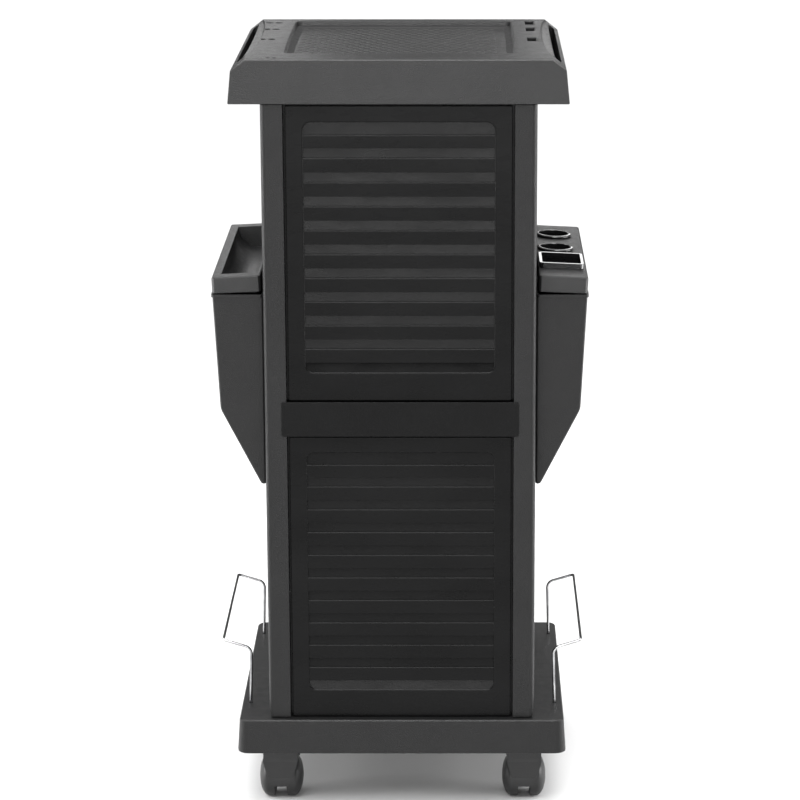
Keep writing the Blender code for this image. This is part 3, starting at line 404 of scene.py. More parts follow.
def chrome(name):
    """Bright plating, a little smeared, with dark streaks painted into its colour as painted reflections
    of dark surroundings.
    """
    material, shader = new_shader(name, CHROME_AND_PAINTED_REFLECTION_TONES[1], CHROME_ROUGHNESS[0], 1.0)
    tree = material.node_tree
    smears = spread(tree, noise(tree, 260.0, 4.0), *CHROME_ROUGHNESS)
    tree.links.new(smears, shader.inputs["Roughness"])
    # Where the painted reflection streaks fall along the wire
    painted_reflection_mask = spread(tree, noise(tree, 45.0, 3.0), 0.0, 1.0)
    toned = blend_colours(tree, painted_reflection_mask, *CHROME_AND_PAINTED_REFLECTION_TONES)
    tree.links.new(toned, shader.inputs["Base Color"])
    return material


def zinc(name):
    """Zinc plate: dull patches and fine scratches along the piece."""
    material, shader = new_shader(name, ZINC_TONES[1], ZINC_ROUGHNESS[0], 1.0)
    tree = material.node_tree
    patches = spread(tree, noise(tree, 180.0, 5.0), 0.0, 1.0)
    toned = blend_colours(tree, patches, *ZINC_TONES)
    tree.links.new(toned, shader.inputs["Base Color"])
    dullness = spread(tree, noise(tree, 500.0), *ZINC_ROUGHNESS)
    tree.links.new(dullness, shader.inputs["Roughness"])
    scratches = noise(tree, 1400.0, 2.0, (1.0, 1.0, 0.05))
    add_bump(tree, shader, scratches, 0.2, 0.0001)
    return material


def build_materials():
    """A material for each slot of the record, and a lit and a shaded copy of plastic that paint light or
    shade on single pieces.
    """
    materials = {name: moulded_plastic(name, *values) for name, values in PLASTICS.items()}
    materials["gloss_plastic"] = gloss_plastic("gloss_plastic")
    materials["zinc_steel"] = zinc("zinc_steel")
    materials["chrome"] = chrome("chrome")
    return materials


MATERIALS = build_materials()


# Shapes


def solid(name, bm):
    """An object from a closed bmesh, with its faces pointing out."""
    bmesh.ops.recalc_face_normals(bm, faces=bm.faces)
    mesh = bpy.data.meshes.new(name)
    bm.to_mesh(mesh)
    bm.free()
    obj = bpy.data.objects.new(name, mesh)
    bpy.context.collection.objects.link(obj)
    return obj


def axis_point(axis, a, b, along):
    if axis == "X":
        return (along, a, b)
    if axis == "Y":
        return (a, along, b)
    return (a, b, along)


def loft(name, rings):
    """A closed solid through rings of equal length, capped at both ends."""
    bm = bmesh.new()
    loops = [[bm.verts.new(point) for point in ring] for ring in rings]
    count = len(loops[0])
    for lower, upper in zip(loops, loops[1:]):
        for index in range(count):
            following = (index + 1) % count
            bm.faces.new((lower[index], lower[following], upper[following], upper[index]))
    bm.faces.new(loops[0])
    bm.faces.new(loops[-1])
    return solid(name, bm)


def prism(name, outline, start, end, axis):
    return loft(name, [[axis_point(axis, a, b, along) for a, b in outline] for along in (start, end)])


def box(name, x_range, y_range, z_range):
    outline = [(x_range[0], y_range[0]), (x_range[1], y_range[0])]
    outline += [(x_range[1], y_range[1]), (x_range[0], y_range[1])]
    return prism(name, outline, z_range[0], z_range[1], "Z")


def arc(centre, radius, start, end, steps):
    points = []
    for index in range(steps + 1):
        angle = math.radians(start + (end - start) * index / steps)
        points.append((centre[0] + radius * math.cos(angle), centre[1] + radius * math.sin(angle)))
    return points


def circle(centre, radius, segments):
    return arc(centre, radius, 0.0, 360.0 * (segments - 1) / segments, segments - 1)


def cylinder(name, centre, radius, start, end, axis, segments=40):
    return prism(name, circle(centre, radius, segments), start, end, axis)


def rounded_rectangle(a_range, b_range, radius, steps=6):
    (a_low, a_high), (b_low, b_high) = a_range, b_range
    points = arc((a_high - radius, b_low + radius), radius, -90, 0, steps)
    points += arc((a_high - radius, b_high - radius), radius, 0, 90, steps)
    points += arc((a_low + radius, b_high - radius), radius, 90, 180, steps)
    points += arc((a_low + radius, b_low + radius), radius, 180, 270, steps)
    return points


def lathe(name, profile, segments=72):
    """Turns (along, radius) points about the X axis. A point of radius 0 becomes a pole."""
    bm = bmesh.new()
    rings = []
    for along, radius in profile:
        if radius == 0.0:
            rings.append([bm.verts.new((along, 0.0, 0.0))])
        else:
            ring = arc((0.0, 0.0), radius, 90.0, 450.0 - 360.0 / segments, segments - 1)
            rings.append([bm.verts.new((along, y, z)) for y, z in ring])
    for first, second in zip(rings, rings[1:] + rings[:1]):
        if len(first) == 1 and len(second) == 1:
            continue
        for index in range(segments):
            following = (index + 1) % segments
            corners = [first[index % len(first)], first[following % len(first)]]
            corners += [second[following % len(second)], second[index % len(second)]]
            bm.faces.new(list(dict.fromkeys(corners)))
    return solid(name, bm)


def combine(target, operation, tools):
    """Adds the tools to the target or cuts them from it, and removes them."""
    for tool in tools:
        modifier = target.modifiers.new(operation, "BOOLEAN")
        modifier.operation = operation
        modifier.object = tool
    bpy.context.view_layer.update()
    graph = bpy.context.evaluated_depsgraph_get()
    mesh = bpy.data.meshes.new_from_object(target.evaluated_get(graph))
    target.modifiers.clear()
    target.data = mesh
    for tool in tools:
        bpy.data.objects.remove(tool)
    return target


def mirrored(side, low, high):
    return (low, high) if side > 0 else (-high, -low)


def cad_copy(node, name):
    """A welded copy of a CAD node's mesh with its flat faces joined, free to be cut and rounded."""
    bm = bmesh.new()
    bm.from_mesh(frame["nodes"][node].data)
    bmesh.ops.remove_doubles(bm, verts=bm.verts, dist=WELD)
    bmesh.ops.dissolve_limit(bm, angle_limit=FLAT_ANGLE, verts=bm.verts, edges=bm.edges)
    return solid(name, bm)


def soften(obj, width, segments=3, thin=False):
    """Rounds the sharp edges and shades the rest smooth. Thin pieces are rounded only as far as fits."""
    obj.data.shade_smooth()
    obj.data.set_sharp_from_angle(angle=SHARP_ANGLE)
    if width:
        modifier = obj.modifiers.new("Rounded edges", "BEVEL")
        modifier.width = width
        modifier.segments = segments
        modifier.limit_method = "ANGLE"
        modifier.angle_limit = SHARP_ANGLE
        modifier.harden_normals = True
        modifier.use_clamp_overlap = thin
    normals = obj.modifiers.new("Weighted normals", "WEIGHTED_NORMAL")
    normals.keep_sharp = True
    normals.weight = 100
    return obj


def stand_for(obj, *nodes):
    """The piece takes the place, the body and the finish of these CAD nodes, or a lit or shaded copy of
    that finish that paints light or shade on it.
    """
    obj.data.materials.clear()
    obj.data.materials.append(MATERIALS[LIT_OR_SHADED_COPY_OF.get(nodes[0], SLOT_OF[nodes[0]])])
    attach(obj, BODY_OF[nodes[0]])
    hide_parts(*nodes)
    return obj


def add_detail(obj, node):
    """The piece is a detail on a CAD node, in the same finish."""
    obj.data.materials.append(MATERIALS[SLOT_OF[node]])
    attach(obj, BODY_OF[node])
    return obj


def stand_on_tray(obj):
    """Tips a piece made in the right tray's own frame about the tray's outer lower edge."""
    turn = math.radians(TRAY_TILT)
    cosine, sine = math.cos(turn), math.sin(turn)
    for vertex in obj.data.vertices:
        x, z = vertex.co.x - TRAY_OUTER, vertex.co.z
        vertex.co.x = TRAY_OUTER + x * cosine + z * sine
        vertex.co.z = TRAY_SEAT - x * sine + z * cosine
    return obj


# Top deck


def recess_ring(z, inwards, steps=8):
    """The recess at one height. Its long sides bow out a little."""
    x_half = RECESS_HALF - inwards
    y_low, y_high = RECESS_FRONT + inwards, RECESS_REAR - inwards
    centre, reach = (y_low + y_high) / 2, (y_high - y_low) / 2
    radius = RECESS_RADIUS
    straight = y_high - y_low - 2 * radius
    right = arc((x_half - radius, y_low + radius), radius, -90, 0, steps)
    right += [(x_half, y_low + radius + straight * index / 10) for index in range(1, 10)]
    right += arc((x_half - radius, y_high - radius), radius, 0, 90, steps)
    points = []
    for x, y in right:
        offset = (y - centre) / reach
        points.append((x + RECESS_BULGE * (1 - offset * offset), y, z))
    return points + [(-x, y, z) for x, y, z in reversed(points)]


def deck_recess():
    """Steep under the rim, then an easy slope down to the floor."""
    top = DECK_HIGH.z
    rings = [recess_ring(top + PAST, -RIM[0][1])]
    rings += [recess_ring(top - drop, -spread) for drop, spread in RIM]
    rings += [recess_ring(top - drop, inwards) for drop, inwards in RECESS_STEPS]
    return loft("recess", rings)


def hand_scoop(side):
    bm = bmesh.new()
    bmesh.ops.create_uvsphere(bm, u_segments=64, v_segments=32, radius=1.0)
    bmesh.ops.scale(bm, vec=Vector(SCOOP_HALF_SIZE), verts=bm.verts)
    centre = Vector((side * SLOT_RANGE[0], SCOOP_CENTRE_Y, DECK_HIGH.z))
    bmesh.ops.translate(bm, vec=centre, verts=bm.verts)
    return solid("scoop", bm)


def deck_cavities():
    """What is hollow under the deck: one broad space, and pockets round the recess, all staggered."""
    cavity_top = RECESS_FLOOR - DECK_PLATE
    pocket_top = DECK_HIGH.z - DECK_PLATE
    y_range = (-CAVITY_LENGTH, CAVITY_LENGTH)
    cavities = [box("cavity", (-CAVITY_HALF, CAVITY_HALF), y_range, (DECK_LOW.z - PAST, cavity_top))]
    for side in SIDES.values():
        pocket_y = (-CAVITY_LENGTH + STAGGER, CAVITY_LENGTH - STAGGER)
        pocket_z = (cavity_top - 2 * STAGGER, pocket_top)
        cavities.append(box("pocket", mirrored(side, *POCKET_RANGE), pocket_y, pocket_z))
    front_half = POCKET_RANGE[0] + 2 * STAGGER
    front_y = (-CAVITY_LENGTH + 2 * STAGGER, RECESS_FRONT - DECK_PLATE)
    front_z = (cavity_top - 3 * STAGGER, pocket_top - STAGGER / 2)
    cavities.append(box("pocket", (-front_half, front_half), front_y, front_z))
    return cavities


def rimmed_cutter(outline_at, low, scale=1.0, undercut=0.0):
    """A cutter through the deck that opens out at the top, for a rounded rim, and may widen below."""
    top = DECK_HIGH.z
    rings = [(low, undercut), (top - HOLE_LIP - HOLE_LIP_EDGE, undercut)]
    rings += [(top - scale * drop, scale * spread) for drop, spread in reversed(RIM)]
    rings.append((top + PAST, scale * RIM[0][1]))
    return loft("hole", [[(x, y, z) for x, y in outline_at(spread)] for z, spread in rings])


def round_hole(x, y, radius, low):
    def outline_at(spread):
        return circle((x, y), radius + spread, 30)

    return rimmed_cutter(outline_at, low, HOLE_DISH, HOLE_UNDERCUT)


def long_hole(x_range, y_range, radius, low):
    def outline_at(spread):
        wide_x = (x_range[0] - spread, x_range[1] + spread)
        wide_y = (y_range[0] - spread, y_range[1] + spread)
        return rounded_rectangle(wide_x, wide_y, radius + spread, 4)

    return rimmed_cutter(outline_at, low)


def deck_openings():
    """Hand slots, round tool holes on the left and square sockets on the right."""
    low = RECESS_FLOOR - 2 * DECK_PLATE
    cutters = []
    for side in SIDES.values():
        slot_x = mirrored(side, *SLOT_RANGE)
        cutters.append(long_hole(slot_x, SLOT_ENDS, SLOT_RADIUS, DECK_LOW.z - PAST))
    for y in TOOL_ROWS:
        cutters += [round_hole(-x, y, TOOL_HOLE_RADIUS, low) for x in TOOL_HOLE_X]
        socket_y = (y - SOCKET_HALF_LENGTH, y + SOCKET_HALF_LENGTH)
        cutters.append(long_hole(SOCKET_X, socket_y, SOCKET_RADIUS, low))
    cutters += [round_hole(-x, SMALL_HOLE_Y, SMALL_HOLE_RADIUS, low) for x in SMALL_HOLE_X]
    return cutters


def deck_ring(y, inset):
    """The deck's section at one place along its length, with every corner rounded."""
    corners = [(DECK_HIGH.x - inset, DECK_LOW.z), (CHAMFER_HALF - inset, CHAMFER_LOW)]
    corners += [(RIDGE_HALF - RIDGE_INSET_SHARE * inset, DECK_HIGH.z - inset)]
    corners = [(-DECK_HIGH.x + inset, DECK_LOW.z)] + corners + [(-x, z) for x, z in reversed(corners[1:])]
    points = []
    for before, corner, after in zip(corners[-1:] + corners, corners, corners[1:] + corners[:1]):
        points += rounded_corner(before, corner, after, DECK_CORNER_RADIUS)
    return [(x, y, z) for x, z in points]


def rounded_corner(before, corner, after, radius, steps=5):
    """Points round one corner of a flat outline."""
    corner = Vector(corner)
    inward = (Vector(before) - corner).normalized()
    outward = (Vector(after) - corner).normalized()
    half_angle = inward.angle(outward) / 2
    centre = corner + (inward + outward).normalized() * (radius / math.sin(half_angle))
    reach = radius / math.tan(half_angle)
    first = corner + inward * reach - centre
    last = corner + outward * reach - centre
    sweep = first.angle(last)
    turn = sweep if first.x * last.y - first.y * last.x > 0 else -sweep
    start = math.atan2(first.y, first.x)
    angles = [start + turn * index / steps for index in range(steps + 1)]
    return [(centre.x + radius * math.cos(a), centre.y + radius * math.sin(a)) for a in angles]


def build_deck():
    """The deck as one shell: hollow below, with its recess, hand slots, tool holes and sockets."""
    ends = [(DECK_LOW.y + along, inset) for along, inset in DECK_EDGE]
    ends += [(DECK_HIGH.y - along, inset) for along, inset in reversed(DECK_EDGE)]
    deck = loft("top_deck_shell", [deck_ring(y, inset) for y, inset in ends])
    combine(deck, "DIFFERENCE", deck_cavities())
    combine(deck, "DIFFERENCE", [deck_recess(), hand_scoop(-1), hand_scoop(1)])
    combine(deck, "DIFFERENCE", deck_openings())
    return stand_for(soften(deck, 0.0), "top_deck")


def build_deck_studs():
    """Staggered rows of oval studs over the recess floor."""
    bm = bmesh.new()
    (x_low, x_high), (y_low, y_high) = STUD_FIELD
    rows = int((y_high - y_low) / STUD_PITCH[1]) + 1
    columns = int((x_high - x_low) / STUD_PITCH[0]) + 1
    for row in range(rows):
        shift = STUD_PITCH[0] / 2 * (row % 2)
        for column in range(columns - row % 2):
            x = x_low + shift + column * STUD_PITCH[0]
            add_stud(bm, x, y_low + row * STUD_PITCH[1])
    studs = solid("deck_studs", bm)
    return add_detail(soften(studs, 0.0), "top_deck")


def add_stud(bm, x, y):
    """A low dome of rings that shrink towards its peak, closed below."""
    half_x, half_y, height = STUD_HALF_SIZE
    loops = []
    for tilt in STUD_TILTS:
        shrink, rise = math.cos(math.radians(tilt)), math.sin(math.radians(tilt))
        ring = circle((0.0, 0.0), shrink, STUD_SEGMENTS)
        z = RECESS_FLOOR - STUD_SINK + height * rise
        loops.append([bm.verts.new((x + half_x * a, y + half_y * b, z)) for a, b in ring])
    peak = bm.verts.new((x, y, RECESS_FLOOR - STUD_SINK + height))
    for lower, upper in zip(loops, loops[1:]):
        for index in range(STUD_SEGMENTS):
            following = (index + 1) % STUD_SEGMENTS
            bm.faces.new((lower[index], lower[following], upper[following], upper[index]))
    for index in range(STUD_SEGMENTS):
        bm.faces.new((loops[-1][index], loops[-1][(index + 1) % STUD_SEGMENTS], peak))
    bm.faces.new(loops[0])


# Cups


def build_round_cups():
    for number, y in enumerate(CUP_ROWS, 1):
        node = f"round_cup_{number}"
        cup = lathe(f"{node}_shell", cup_profile())
        for vertex in cup.data.vertices:
            x, across, up = vertex.co.z, vertex.co.y, vertex.co.x
            vertex.co = Vector((CUP_X + x, y - across, up))
        stand_on_tray(cup)
        stand_for(soften(cup, 0.0), node)


def cup_profile():
    """Half section of a cup, from its axis under the base to its axis inside, with a rolled rim."""
    bottom = TRAY_HEIGHT - CUP_DEPTH
    seat, top = TRAY_HEIGHT + CUP_SEAT_GAP, TRAY_HEIGHT + CUP_COLLAR_HEIGHT
    inner = CUP_BODY_RADIUS - CUP_WALL
    corner, roll, lip = CUP_CORNER, CUP_ROLL, CUP_LIP_RADIUS
    profile = [(bottom, 0.0)]
    profile += [(z, r) for r, z in arc((CUP_BODY_RADIUS - corner, bottom + corner), corner, -90, 0, 6)]
    profile += [(seat, CUP_BODY_RADIUS)]
    profile += [(z, r) for r, z in arc((CUP_COLLAR_RADIUS - roll, seat + roll), roll, -60, 90, 8)]
    profile += [(z, r) for r, z in arc((inner + lip, top - lip), lip, 90, 180, 4)]
    floor = bottom + CUP_WALL
    profile += [(z, r) for r, z in arc((inner - corner, floor + corner), corner, 0, -90, 6)]
    return profile + [(floor, 0.0)]


# Casters


def wheel_profile():
    """Half section of a wheel: recessed inner face, grooved tread and a domed side with a hub ring."""
    inner, outer = WHEEL_INNER, WHEEL_OUTER
    edge = WHEEL_RADIUS - WHEEL_EDGE
    profile = [(inner, AXLE_BORE_RADIUS)]
    profile += [(inner + depth, radius) for depth, radius in WHEEL_WELL]
    profile.append((inner, edge))
    profile += [(x, r) for x, r in arc((inner + WHEEL_EDGE, edge), WHEEL_EDGE, 180, 90, 4)]
    dome = outer - WHEEL_TREAD_END
    for angle in range(0, 80, 6):
        sine, cosine = math.sin(math.radians(angle)), math.cos(math.radians(angle))
        profile.append((WHEEL_TREAD_END + dome * sine, WHEEL_RADIUS * cosine))
    profile += [(outer - depth, radius) for depth, radius in WHEEL_CAP]
    return profile + [(WHEEL_BORE_END, 0.0), (WHEEL_BORE_END, AXLE_BORE_RADIUS)]


def hood_point(angle, radius):
    """A point round the axle, at an angle from the vertical towards the stem's side."""
    turn = math.radians(angle)
    return (TRAIL - radius * math.sin(turn), WHEEL_RADIUS + radius * math.cos(turn))


def hood_shield(steps=40):
    """The arched plate over the wheels, slightly crowned across."""
    rings = []
    start, end = HOOD_ANGLES
    share, fall = HOOD_SHOULDER_SHARES
    for index in range(steps + 1):
        angle = start + (end - start) * index / steps
        half = hood_half_width(angle)
        inner, outer = hood_point(angle, HOOD_INNER), hood_point(angle, HOOD_OUTER - HOOD_CROWN)
        shoulder = hood_point(angle, HOOD_OUTER - fall * HOOD_CROWN)
        middle = hood_point(angle, HOOD_OUTER)
        ring = [(-half, *inner), (-half, *outer), (-share * half, *shoulder), (0.0, *middle)]
        rings.append(ring + [(share * half, *shoulder), (half, *outer), (half, *inner)])
    return loft("hood_shield", rings)


def hood_half_width(angle):
    """The shield keeps its full width over the wheels and narrows down its front."""
    taper = max(0.0, (angle - HOOD_TAPER_ANGLE) / (HOOD_ANGLES[1] - HOOD_TAPER_ANGLE))
    return HOOD_HALF_WIDTH + (HOOD_TIP_HALF_WIDTH - HOOD_HALF_WIDTH) * taper * taper


def hood_cowl():
    """The hood's upright front, from the shield's foremost line up under the base, round the stem."""
    front = TRAIL - HOOD_OUTER
    rings = []
    for angle in COWL_ANGLES:
        back, z = hood_point(angle, HOOD_OUTER - COWL_BITE)
        rings.append(cowl_ring(front, back, hood_half_width(angle), z))
    head_front = front + COWL_HEAD_SETBACK
    head_back = HOOD_BOSS_RADIUS + COWL_HEAD_OVERLAP
    head_half = HOOD_HALF_WIDTH - COWL_HEAD_NARROWING
    for drop in COWL_HEAD_DROPS:
        rings.append(cowl_ring(head_front, head_back, head_half, HOOD_BOSS_RANGE[1] - drop))
    return loft("cowl", rings)


def cowl_ring(front, back, half, z):
    """The cowl at one height. Its face is slightly bowed and its front corners are blunt."""
    across, along = COWL_CORNER
    outline = [(-half, back), (-half, front + along), (-half + across, front + COWL_BOW), (0.0, front)]
    outline += [(-x, y) for x, y in reversed(outline[:-1])]
    return [(x, y, z) for x, y in outline]


def hood_web():
    """The plate between the wheels that joins the shield to the axle."""
    reach = (HOOD_INNER + HOOD_OUTER) / 2
    start, end = HOOD_ANGLES[0] + HOOD_WEB_MARGIN, HOOD_ANGLES[1] - HOOD_WEB_MARGIN
    outline = [hood_point(start + (end - start) * index / 30, reach) for index in range(31)]
    outline += [hood_point(angle, HOOD_HUB_RADIUS) for angle in range(120, 241, 15)]
    return prism("hood_web", outline, -HOOD_WEB_HALF, HOOD_WEB_HALF, "X")


def hood_master():
    """One hood about its stem, at the front of the trolley. The four hoods are turned copies."""
    hood = hood_web()
    boss_low, boss_high = HOOD_BOSS_RANGE
    neck_y = (-NECK_HALF_LENGTH, NECK_HALF_LENGTH)
    neck = box("neck", (-HOOD_WEB_HALF, HOOD_WEB_HALF), neck_y, (NECK_BOTTOM, boss_high - NECK_DROP))
    boss = cylinder("boss", (0, 0), HOOD_BOSS_RADIUS, boss_low, boss_high, "Z")
    combine(hood, "UNION", [hood_shield(), neck, boss, hood_cowl()])
    stem_bore = cylinder("bore", (0, 0), STEM_BORE_RADIUS, STEM_BORE_BOTTOM, boss_high + PAST, "Z")
    axle = (TRAIL, WHEEL_RADIUS)
    axle_bore = cylinder("bore", axle, AXLE_BORE_RADIUS, -AXLE_BORE_REACH, AXLE_BORE_REACH, "X")
    return combine(hood, "DIFFERENCE", [stem_bore, axle_bore])


def build_casters():
    hood = hood_master()
    wheel = lathe("wheel", wheel_profile())
    for end_name, end in CASTER_ENDS.items():
        for side_name, side in SIDES.items():
            prefix = f"caster_{end_name}_{side_name}"
            turn = 0.0 if end < 0 else math.pi
            stem = Vector((side * STEM_X, end * STEM_Y, 0.0))
            place_copy(hood, f"{prefix}_hood", stem, Vector(), turn, 0.0, HOOD_ROUNDING)
            axle = Vector((0.0, TRAIL, WHEEL_RADIUS))
            place_copy(wheel, f"{prefix}_wheel_a", stem, axle, turn, 0.0, 0.0)
            place_copy(wheel, f"{prefix}_wheel_b", stem, axle, turn, math.pi, 0.0)
    bpy.data.objects.remove(hood)
    bpy.data.objects.remove(wheel)


def place_copy(master, node, stem, offset, turn, own_turn, rounding):
    """A copy of a caster piece, turned about itself, moved off the stem and turned about the stem."""
    mesh = master.data.copy()
    for vertex in mesh.vertices:
        vertex.co = turned(turned(vertex.co, own_turn) + offset, turn) + stem
    copy = bpy.data.objects.new(f"{node}_shell", mesh)
    bpy.context.collection.objects.link(copy)
    stand_for(soften(copy, rounding, segments=2, thin=True), node)


def turned(point, turn):
    cosine, sine = math.cos(turn), math.sin(turn)
    return Vector((point.x * cosine - point.y * sine, point.x * sine + point.y * cosine, point.z))


# Wire racks


def rounded_path(corners, steps=14):
    """Points along straight runs whose corners, given as (point, radius), are rounded."""
    path = [Vector(corners[0][0])]
    for (before, _), (corner, radius), (after, _) in zip(corners, corners[1:], corners[2:]):
        corner = Vector(corner)
        inward = (Vector(before) - corner).normalized()
        outward = (Vector(after) - corner).normalized()
        half_angle = inward.angle(outward) / 2
        reach = radius / math.tan(half_angle)
        start, end = corner + inward * reach, corner + outward * reach
        centre = corner + (inward + outward).normalized() * (radius / math.sin(half_angle))
        first, last = (start - centre).normalized(), (end - centre).normalized()
        path += [centre + first.slerp(last, index / steps) * radius for index in range(steps + 1)]
    path.append(Vector(corners[-1][0]))
    return path


def build_wire_rack(side_name):
    """A bent wire with both feet in the base, leaning out to the bar that towels hang on."""
    side = SIDES[side_name]
    foot_x, shoulder_x, bar_x = side * WIRE_FOOT_X, side * WIRE_SHOULDER_X, side * WIRE_BAR_X
    front, rear = WIRE_ENDS
    foot_bend, shoulder_bend, bar_bend = WIRE_BEND_RADII
    half = [((foot_x, WIRE_FOOT_Z), 0.0), ((foot_x, WIRE_BEND_Z), foot_bend)]
    half += [((shoulder_x, WIRE_SHOULDER_Z), shoulder_bend), ((bar_x, WIRE_BAR_Z), bar_bend)]
    corners = [((x, front, z), radius) for (x, z), radius in half]
    corners += [((x, rear, z), radius) for (x, z), radius in reversed(half)]
    curve = bpy.data.curves.new(f"wire_rack_{side_name}_wire", "CURVE")
    curve.dimensions = "3D"
    curve.bevel_depth = WIRE_RADIUS
    curve.bevel_resolution = 6
    curve.use_fill_caps = True
    spline = curve.splines.new("POLY")
    path = rounded_path(corners)
    spline.points.add(len(path) - 1)
    for point, place in zip(spline.points, path):
        point.co = (*place, 1.0)
        point.tilt = 0.0
    spline.use_smooth = True
    wire = bpy.data.objects.new(curve.name, curve)
    bpy.context.collection.objects.link(wire)
    return stand_for(wire, f"wire_rack_{side_name}")


# Side panels and the other mouldings


def build_side_panel(side_name):
    """The panel with the outer corners of its posts drawn in at the foot."""
    side = SIDES[side_name]
    node = f"side_panel_{side_name}"
    panel = cad_copy(node, f"{node}_shell")
    inset, rise = FOOT_TAPER
    beside, under = FOOT_TAPER_OVERRUN
    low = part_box(node)[0].z
    wedge = [(POST_OUTER - inset, low - under), (POST_OUTER + PAST, low - under)]
    wedge += [(POST_OUTER + PAST, low + rise), (POST_OUTER + beside, low + rise)]
    outline = [(side * x, z) for x, z in wedge]
    combine(panel, "DIFFERENCE", [prism("wedge", outline, -POST_FRONT - PAST, POST_FRONT + PAST, "Y")])
    return stand_for(soften(panel, PANEL_ROUNDING), node)


def panel_ring(bottom, top, depth, inset):
    """The panel's outline at one depth behind its face."""
    half = PANEL_HALF_WIDTH - inset
    outline = rounded_rectangle((-half, half), (bottom + inset, top - inset), PANEL_CORNER, 3)
    return [(x, PANEL_FRONT + depth, z) for x, z in outline]


def lip_ring(z_range, depth, spread):
    """The recess's outline at one depth. It flares towards the face."""
    half = RECESS_HALF_WIDTH + spread
    radius = RECESS_CORNER + spread
    outline = rounded_rectangle((-half, half), (z_range[0] - spread, z_range[1] + spread), radius, 8)
    return [(x, PANEL_FRONT + depth, z) for x, z in outline]


def louvre_section(top):
    """Side outline of the recess, as (depth, z), from its top down. Each land's top edge is rounded."""
    front = -LOUVRE_OVERCUT
    ease_depth, ease_rise = SLOPE_EASE
    points = [(front, top + RECESS_OVERRUN), (LOUVRE_DEPTH, top + RECESS_OVERRUN)]
    land_top = top - FIRST_LAND_DROP
    land_bottom = land_top - FIRST_LAND_HEIGHT
    for _ in range(LOUVRE_COUNT):
        shoulder = LAND_DEPTH + LAND_RADIUS
        points.append((shoulder + ease_depth, land_top + ease_rise))
        points += arc((shoulder, land_top - LAND_RADIUS), LAND_RADIUS, 90, 180, 8)
        foot = (LAND_DEPTH + LAND_FOOT_RADIUS, land_bottom + LAND_FOOT_RADIUS)
        points += arc(foot, LAND_FOOT_RADIUS, 180, 270, 3)
        points.append((LOUVRE_DEPTH, land_bottom))
        land_top = land_bottom - LOUVRE_BAND
        land_bottom -= LOUVRE_PITCH
    end = land_top - RECESS_OVERRUN
    return points + [(LAND_DEPTH, land_top), (LAND_DEPTH, end), (front, end)]


def build_louvre_panel(node):
    """A panel with a rounded outer edge and, in a recess with a rolled lip, ten sloping louvres."""
    low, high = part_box(node)
    bottom, top = low.z, high.z - FLANGE_RISE
    rings = [panel_ring(bottom, top, depth, inset) for depth, inset in PANEL_EDGE]
    rings.append(panel_ring(bottom, top, PANEL_THICKNESS, 0.0))
    panel = loft(f"{node}_shell", rings)
    back = PANEL_FRONT + PANEL_THICKNESS
    flange_x = (-PANEL_HALF_WIDTH - PANEL_FLANGE, PANEL_HALF_WIDTH + PANEL_FLANGE)
    flange = box("flange", flange_x, (back - PANEL_FLANGE, back), (bottom + FLANGE_STEP, high.z))
    combine(panel, "UNION", [flange])
    combine(panel, "DIFFERENCE", [louvre_recess(top - RECESS_TOP_MARGIN)])
    return stand_for(soften(panel, 0.0), node)


def louvre_recess(top):
    """What is cut from a panel's face: the louvres' section inside the rolled lip."""
    section = louvre_section(top)
    foot = section[-1][1] + RECESS_OVERRUN
    outline = [(PANEL_FRONT + depth, z) for depth, z in section]
    recess = prism("recess", outline, -RECESS_REACH, RECESS_REACH, "X")
    rings = [lip_ring((foot, top), depth, spread) for depth, spread in RECESS_LIP]
    rings += [lip_ring((foot, top), depth, 0.0) for depth in (RECESS_LIP_END, PANEL_THICKNESS)]
    return combine(recess, "INTERSECT", [loft("lip", rings)])


def build_mouldings():
    """Pieces whose CAD shape is right, with every moulded edge rounded."""
    for node, width in ROUNDINGS.items():
        shell = cad_copy(node, f"{node}_shell")
        stand_for(soften(shell, width, thin=node in THIN_PIECES), node)


def finish_plain_nodes():
    """Every CAD node takes its slot's finish. Only the turned steel pieces stay in view."""
    for node, obj in frame["nodes"].items():
        obj.data.materials.clear()
        obj.data.materials.append(MATERIALS[SLOT_OF[node]])


# Floor, light and camera


def build_floor():
    reach = (-FLOOR_REACH, FLOOR_REACH)
    floor = box("floor", reach, reach, (-FLOOR_THICKNESS, 0.0))
    material, _ = new_shader("floor", (FLOOR_GREY,) * 3, FLOOR_ROUGHNESS, 0.0, FLOOR_SPECULAR)
    floor.data.materials.append(material)


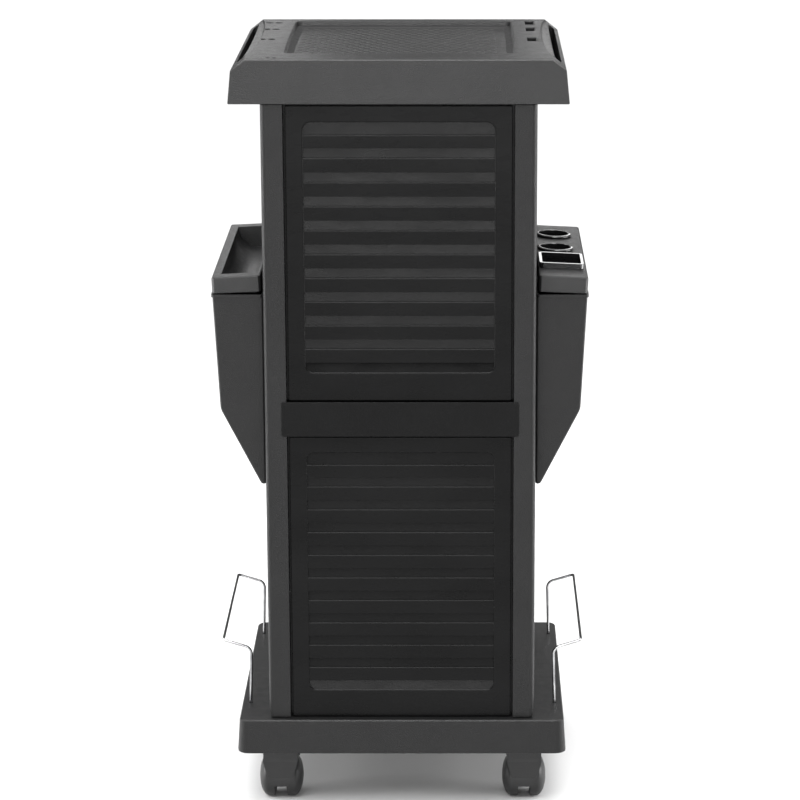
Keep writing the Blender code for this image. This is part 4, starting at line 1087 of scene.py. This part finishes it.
def area_light(name, place, target, size, radiance):
    light = bpy.data.lights.new(name, "AREA")
    light.shape = "RECTANGLE"
    light.size, light.size_y = size
    light.energy = radiance * math.pi * size[0] * size[1]
    obj = bpy.data.objects.new(name, light)
    bpy.context.collection.objects.link(obj)
    obj.location = place
    obj.rotation_euler = (Vector(target) - Vector(place)).to_track_quat("-Z", "Y").to_euler()
    obj.visible_camera = False
    return obj


def build_sky():
    """A studio that is bright overhead and dim towards the horizon."""
    world = bpy.data.worlds.new("studio")
    bpy.context.scene.world = world
    world.use_nodes = True
    tree = world.node_tree
    direction = tree.nodes.new("ShaderNodeTexCoord")
    split = tree.nodes.new("ShaderNodeSeparateXYZ")
    ramp = tree.nodes.new("ShaderNodeMapRange")
    ramp.interpolation_type = "SMOOTHSTEP"
    ramp.inputs["From Min"].default_value, ramp.inputs["From Max"].default_value = SKY_RAMP
    ramp.inputs["To Min"].default_value = SKY_LOW
    ramp.inputs["To Max"].default_value = SKY_HIGH
    tree.links.new(direction.outputs["Generated"], split.inputs["Vector"])
    tree.links.new(split.outputs["Z"], ramp.inputs["Value"])
    background = tree.nodes["Background"]
    background.inputs["Color"].default_value = (1.0, 1.0, 1.0, 1.0)
    tree.links.new(ramp.outputs["Result"], background.inputs["Strength"])


def build_light():
    build_sky()
    for name, values in SINGLE_LIGHTS.items():
        area_light(name, *values)
    for side in SIDES.values():
        for name, (place, *values) in PAIRED_LIGHTS.items():
            area_light(name, (side * place[0], *place[1:]), *values)


def build_camera():
    camera = bpy.data.objects.new("camera", bpy.data.cameras.new("camera"))
    bpy.context.collection.objects.link(camera)
    camera.location = CAMERA_PLACE
    camera.rotation_euler = (CAMERA_PITCH, 0.0, 0.0)
    camera.data.sensor_width = CAMERA_SENSOR
    camera.data.lens = CAMERA_LENS
    camera.data.shift_x = CAMERA_SHIFT_X
    bpy.context.scene.camera = camera


build_camera()
build_light()
build_floor()
finish_plain_nodes()
build_mouldings()
for side_name in SIDES:
    build_side_panel(side_name)
    build_wire_rack(side_name)
build_louvre_panel("louvre_panel_lower")
build_louvre_panel("louvre_panel_upper")
build_deck()
build_deck_studs()
build_round_cups()
build_casters()
bpy.context.scene.view_settings.view_transform = "Standard"
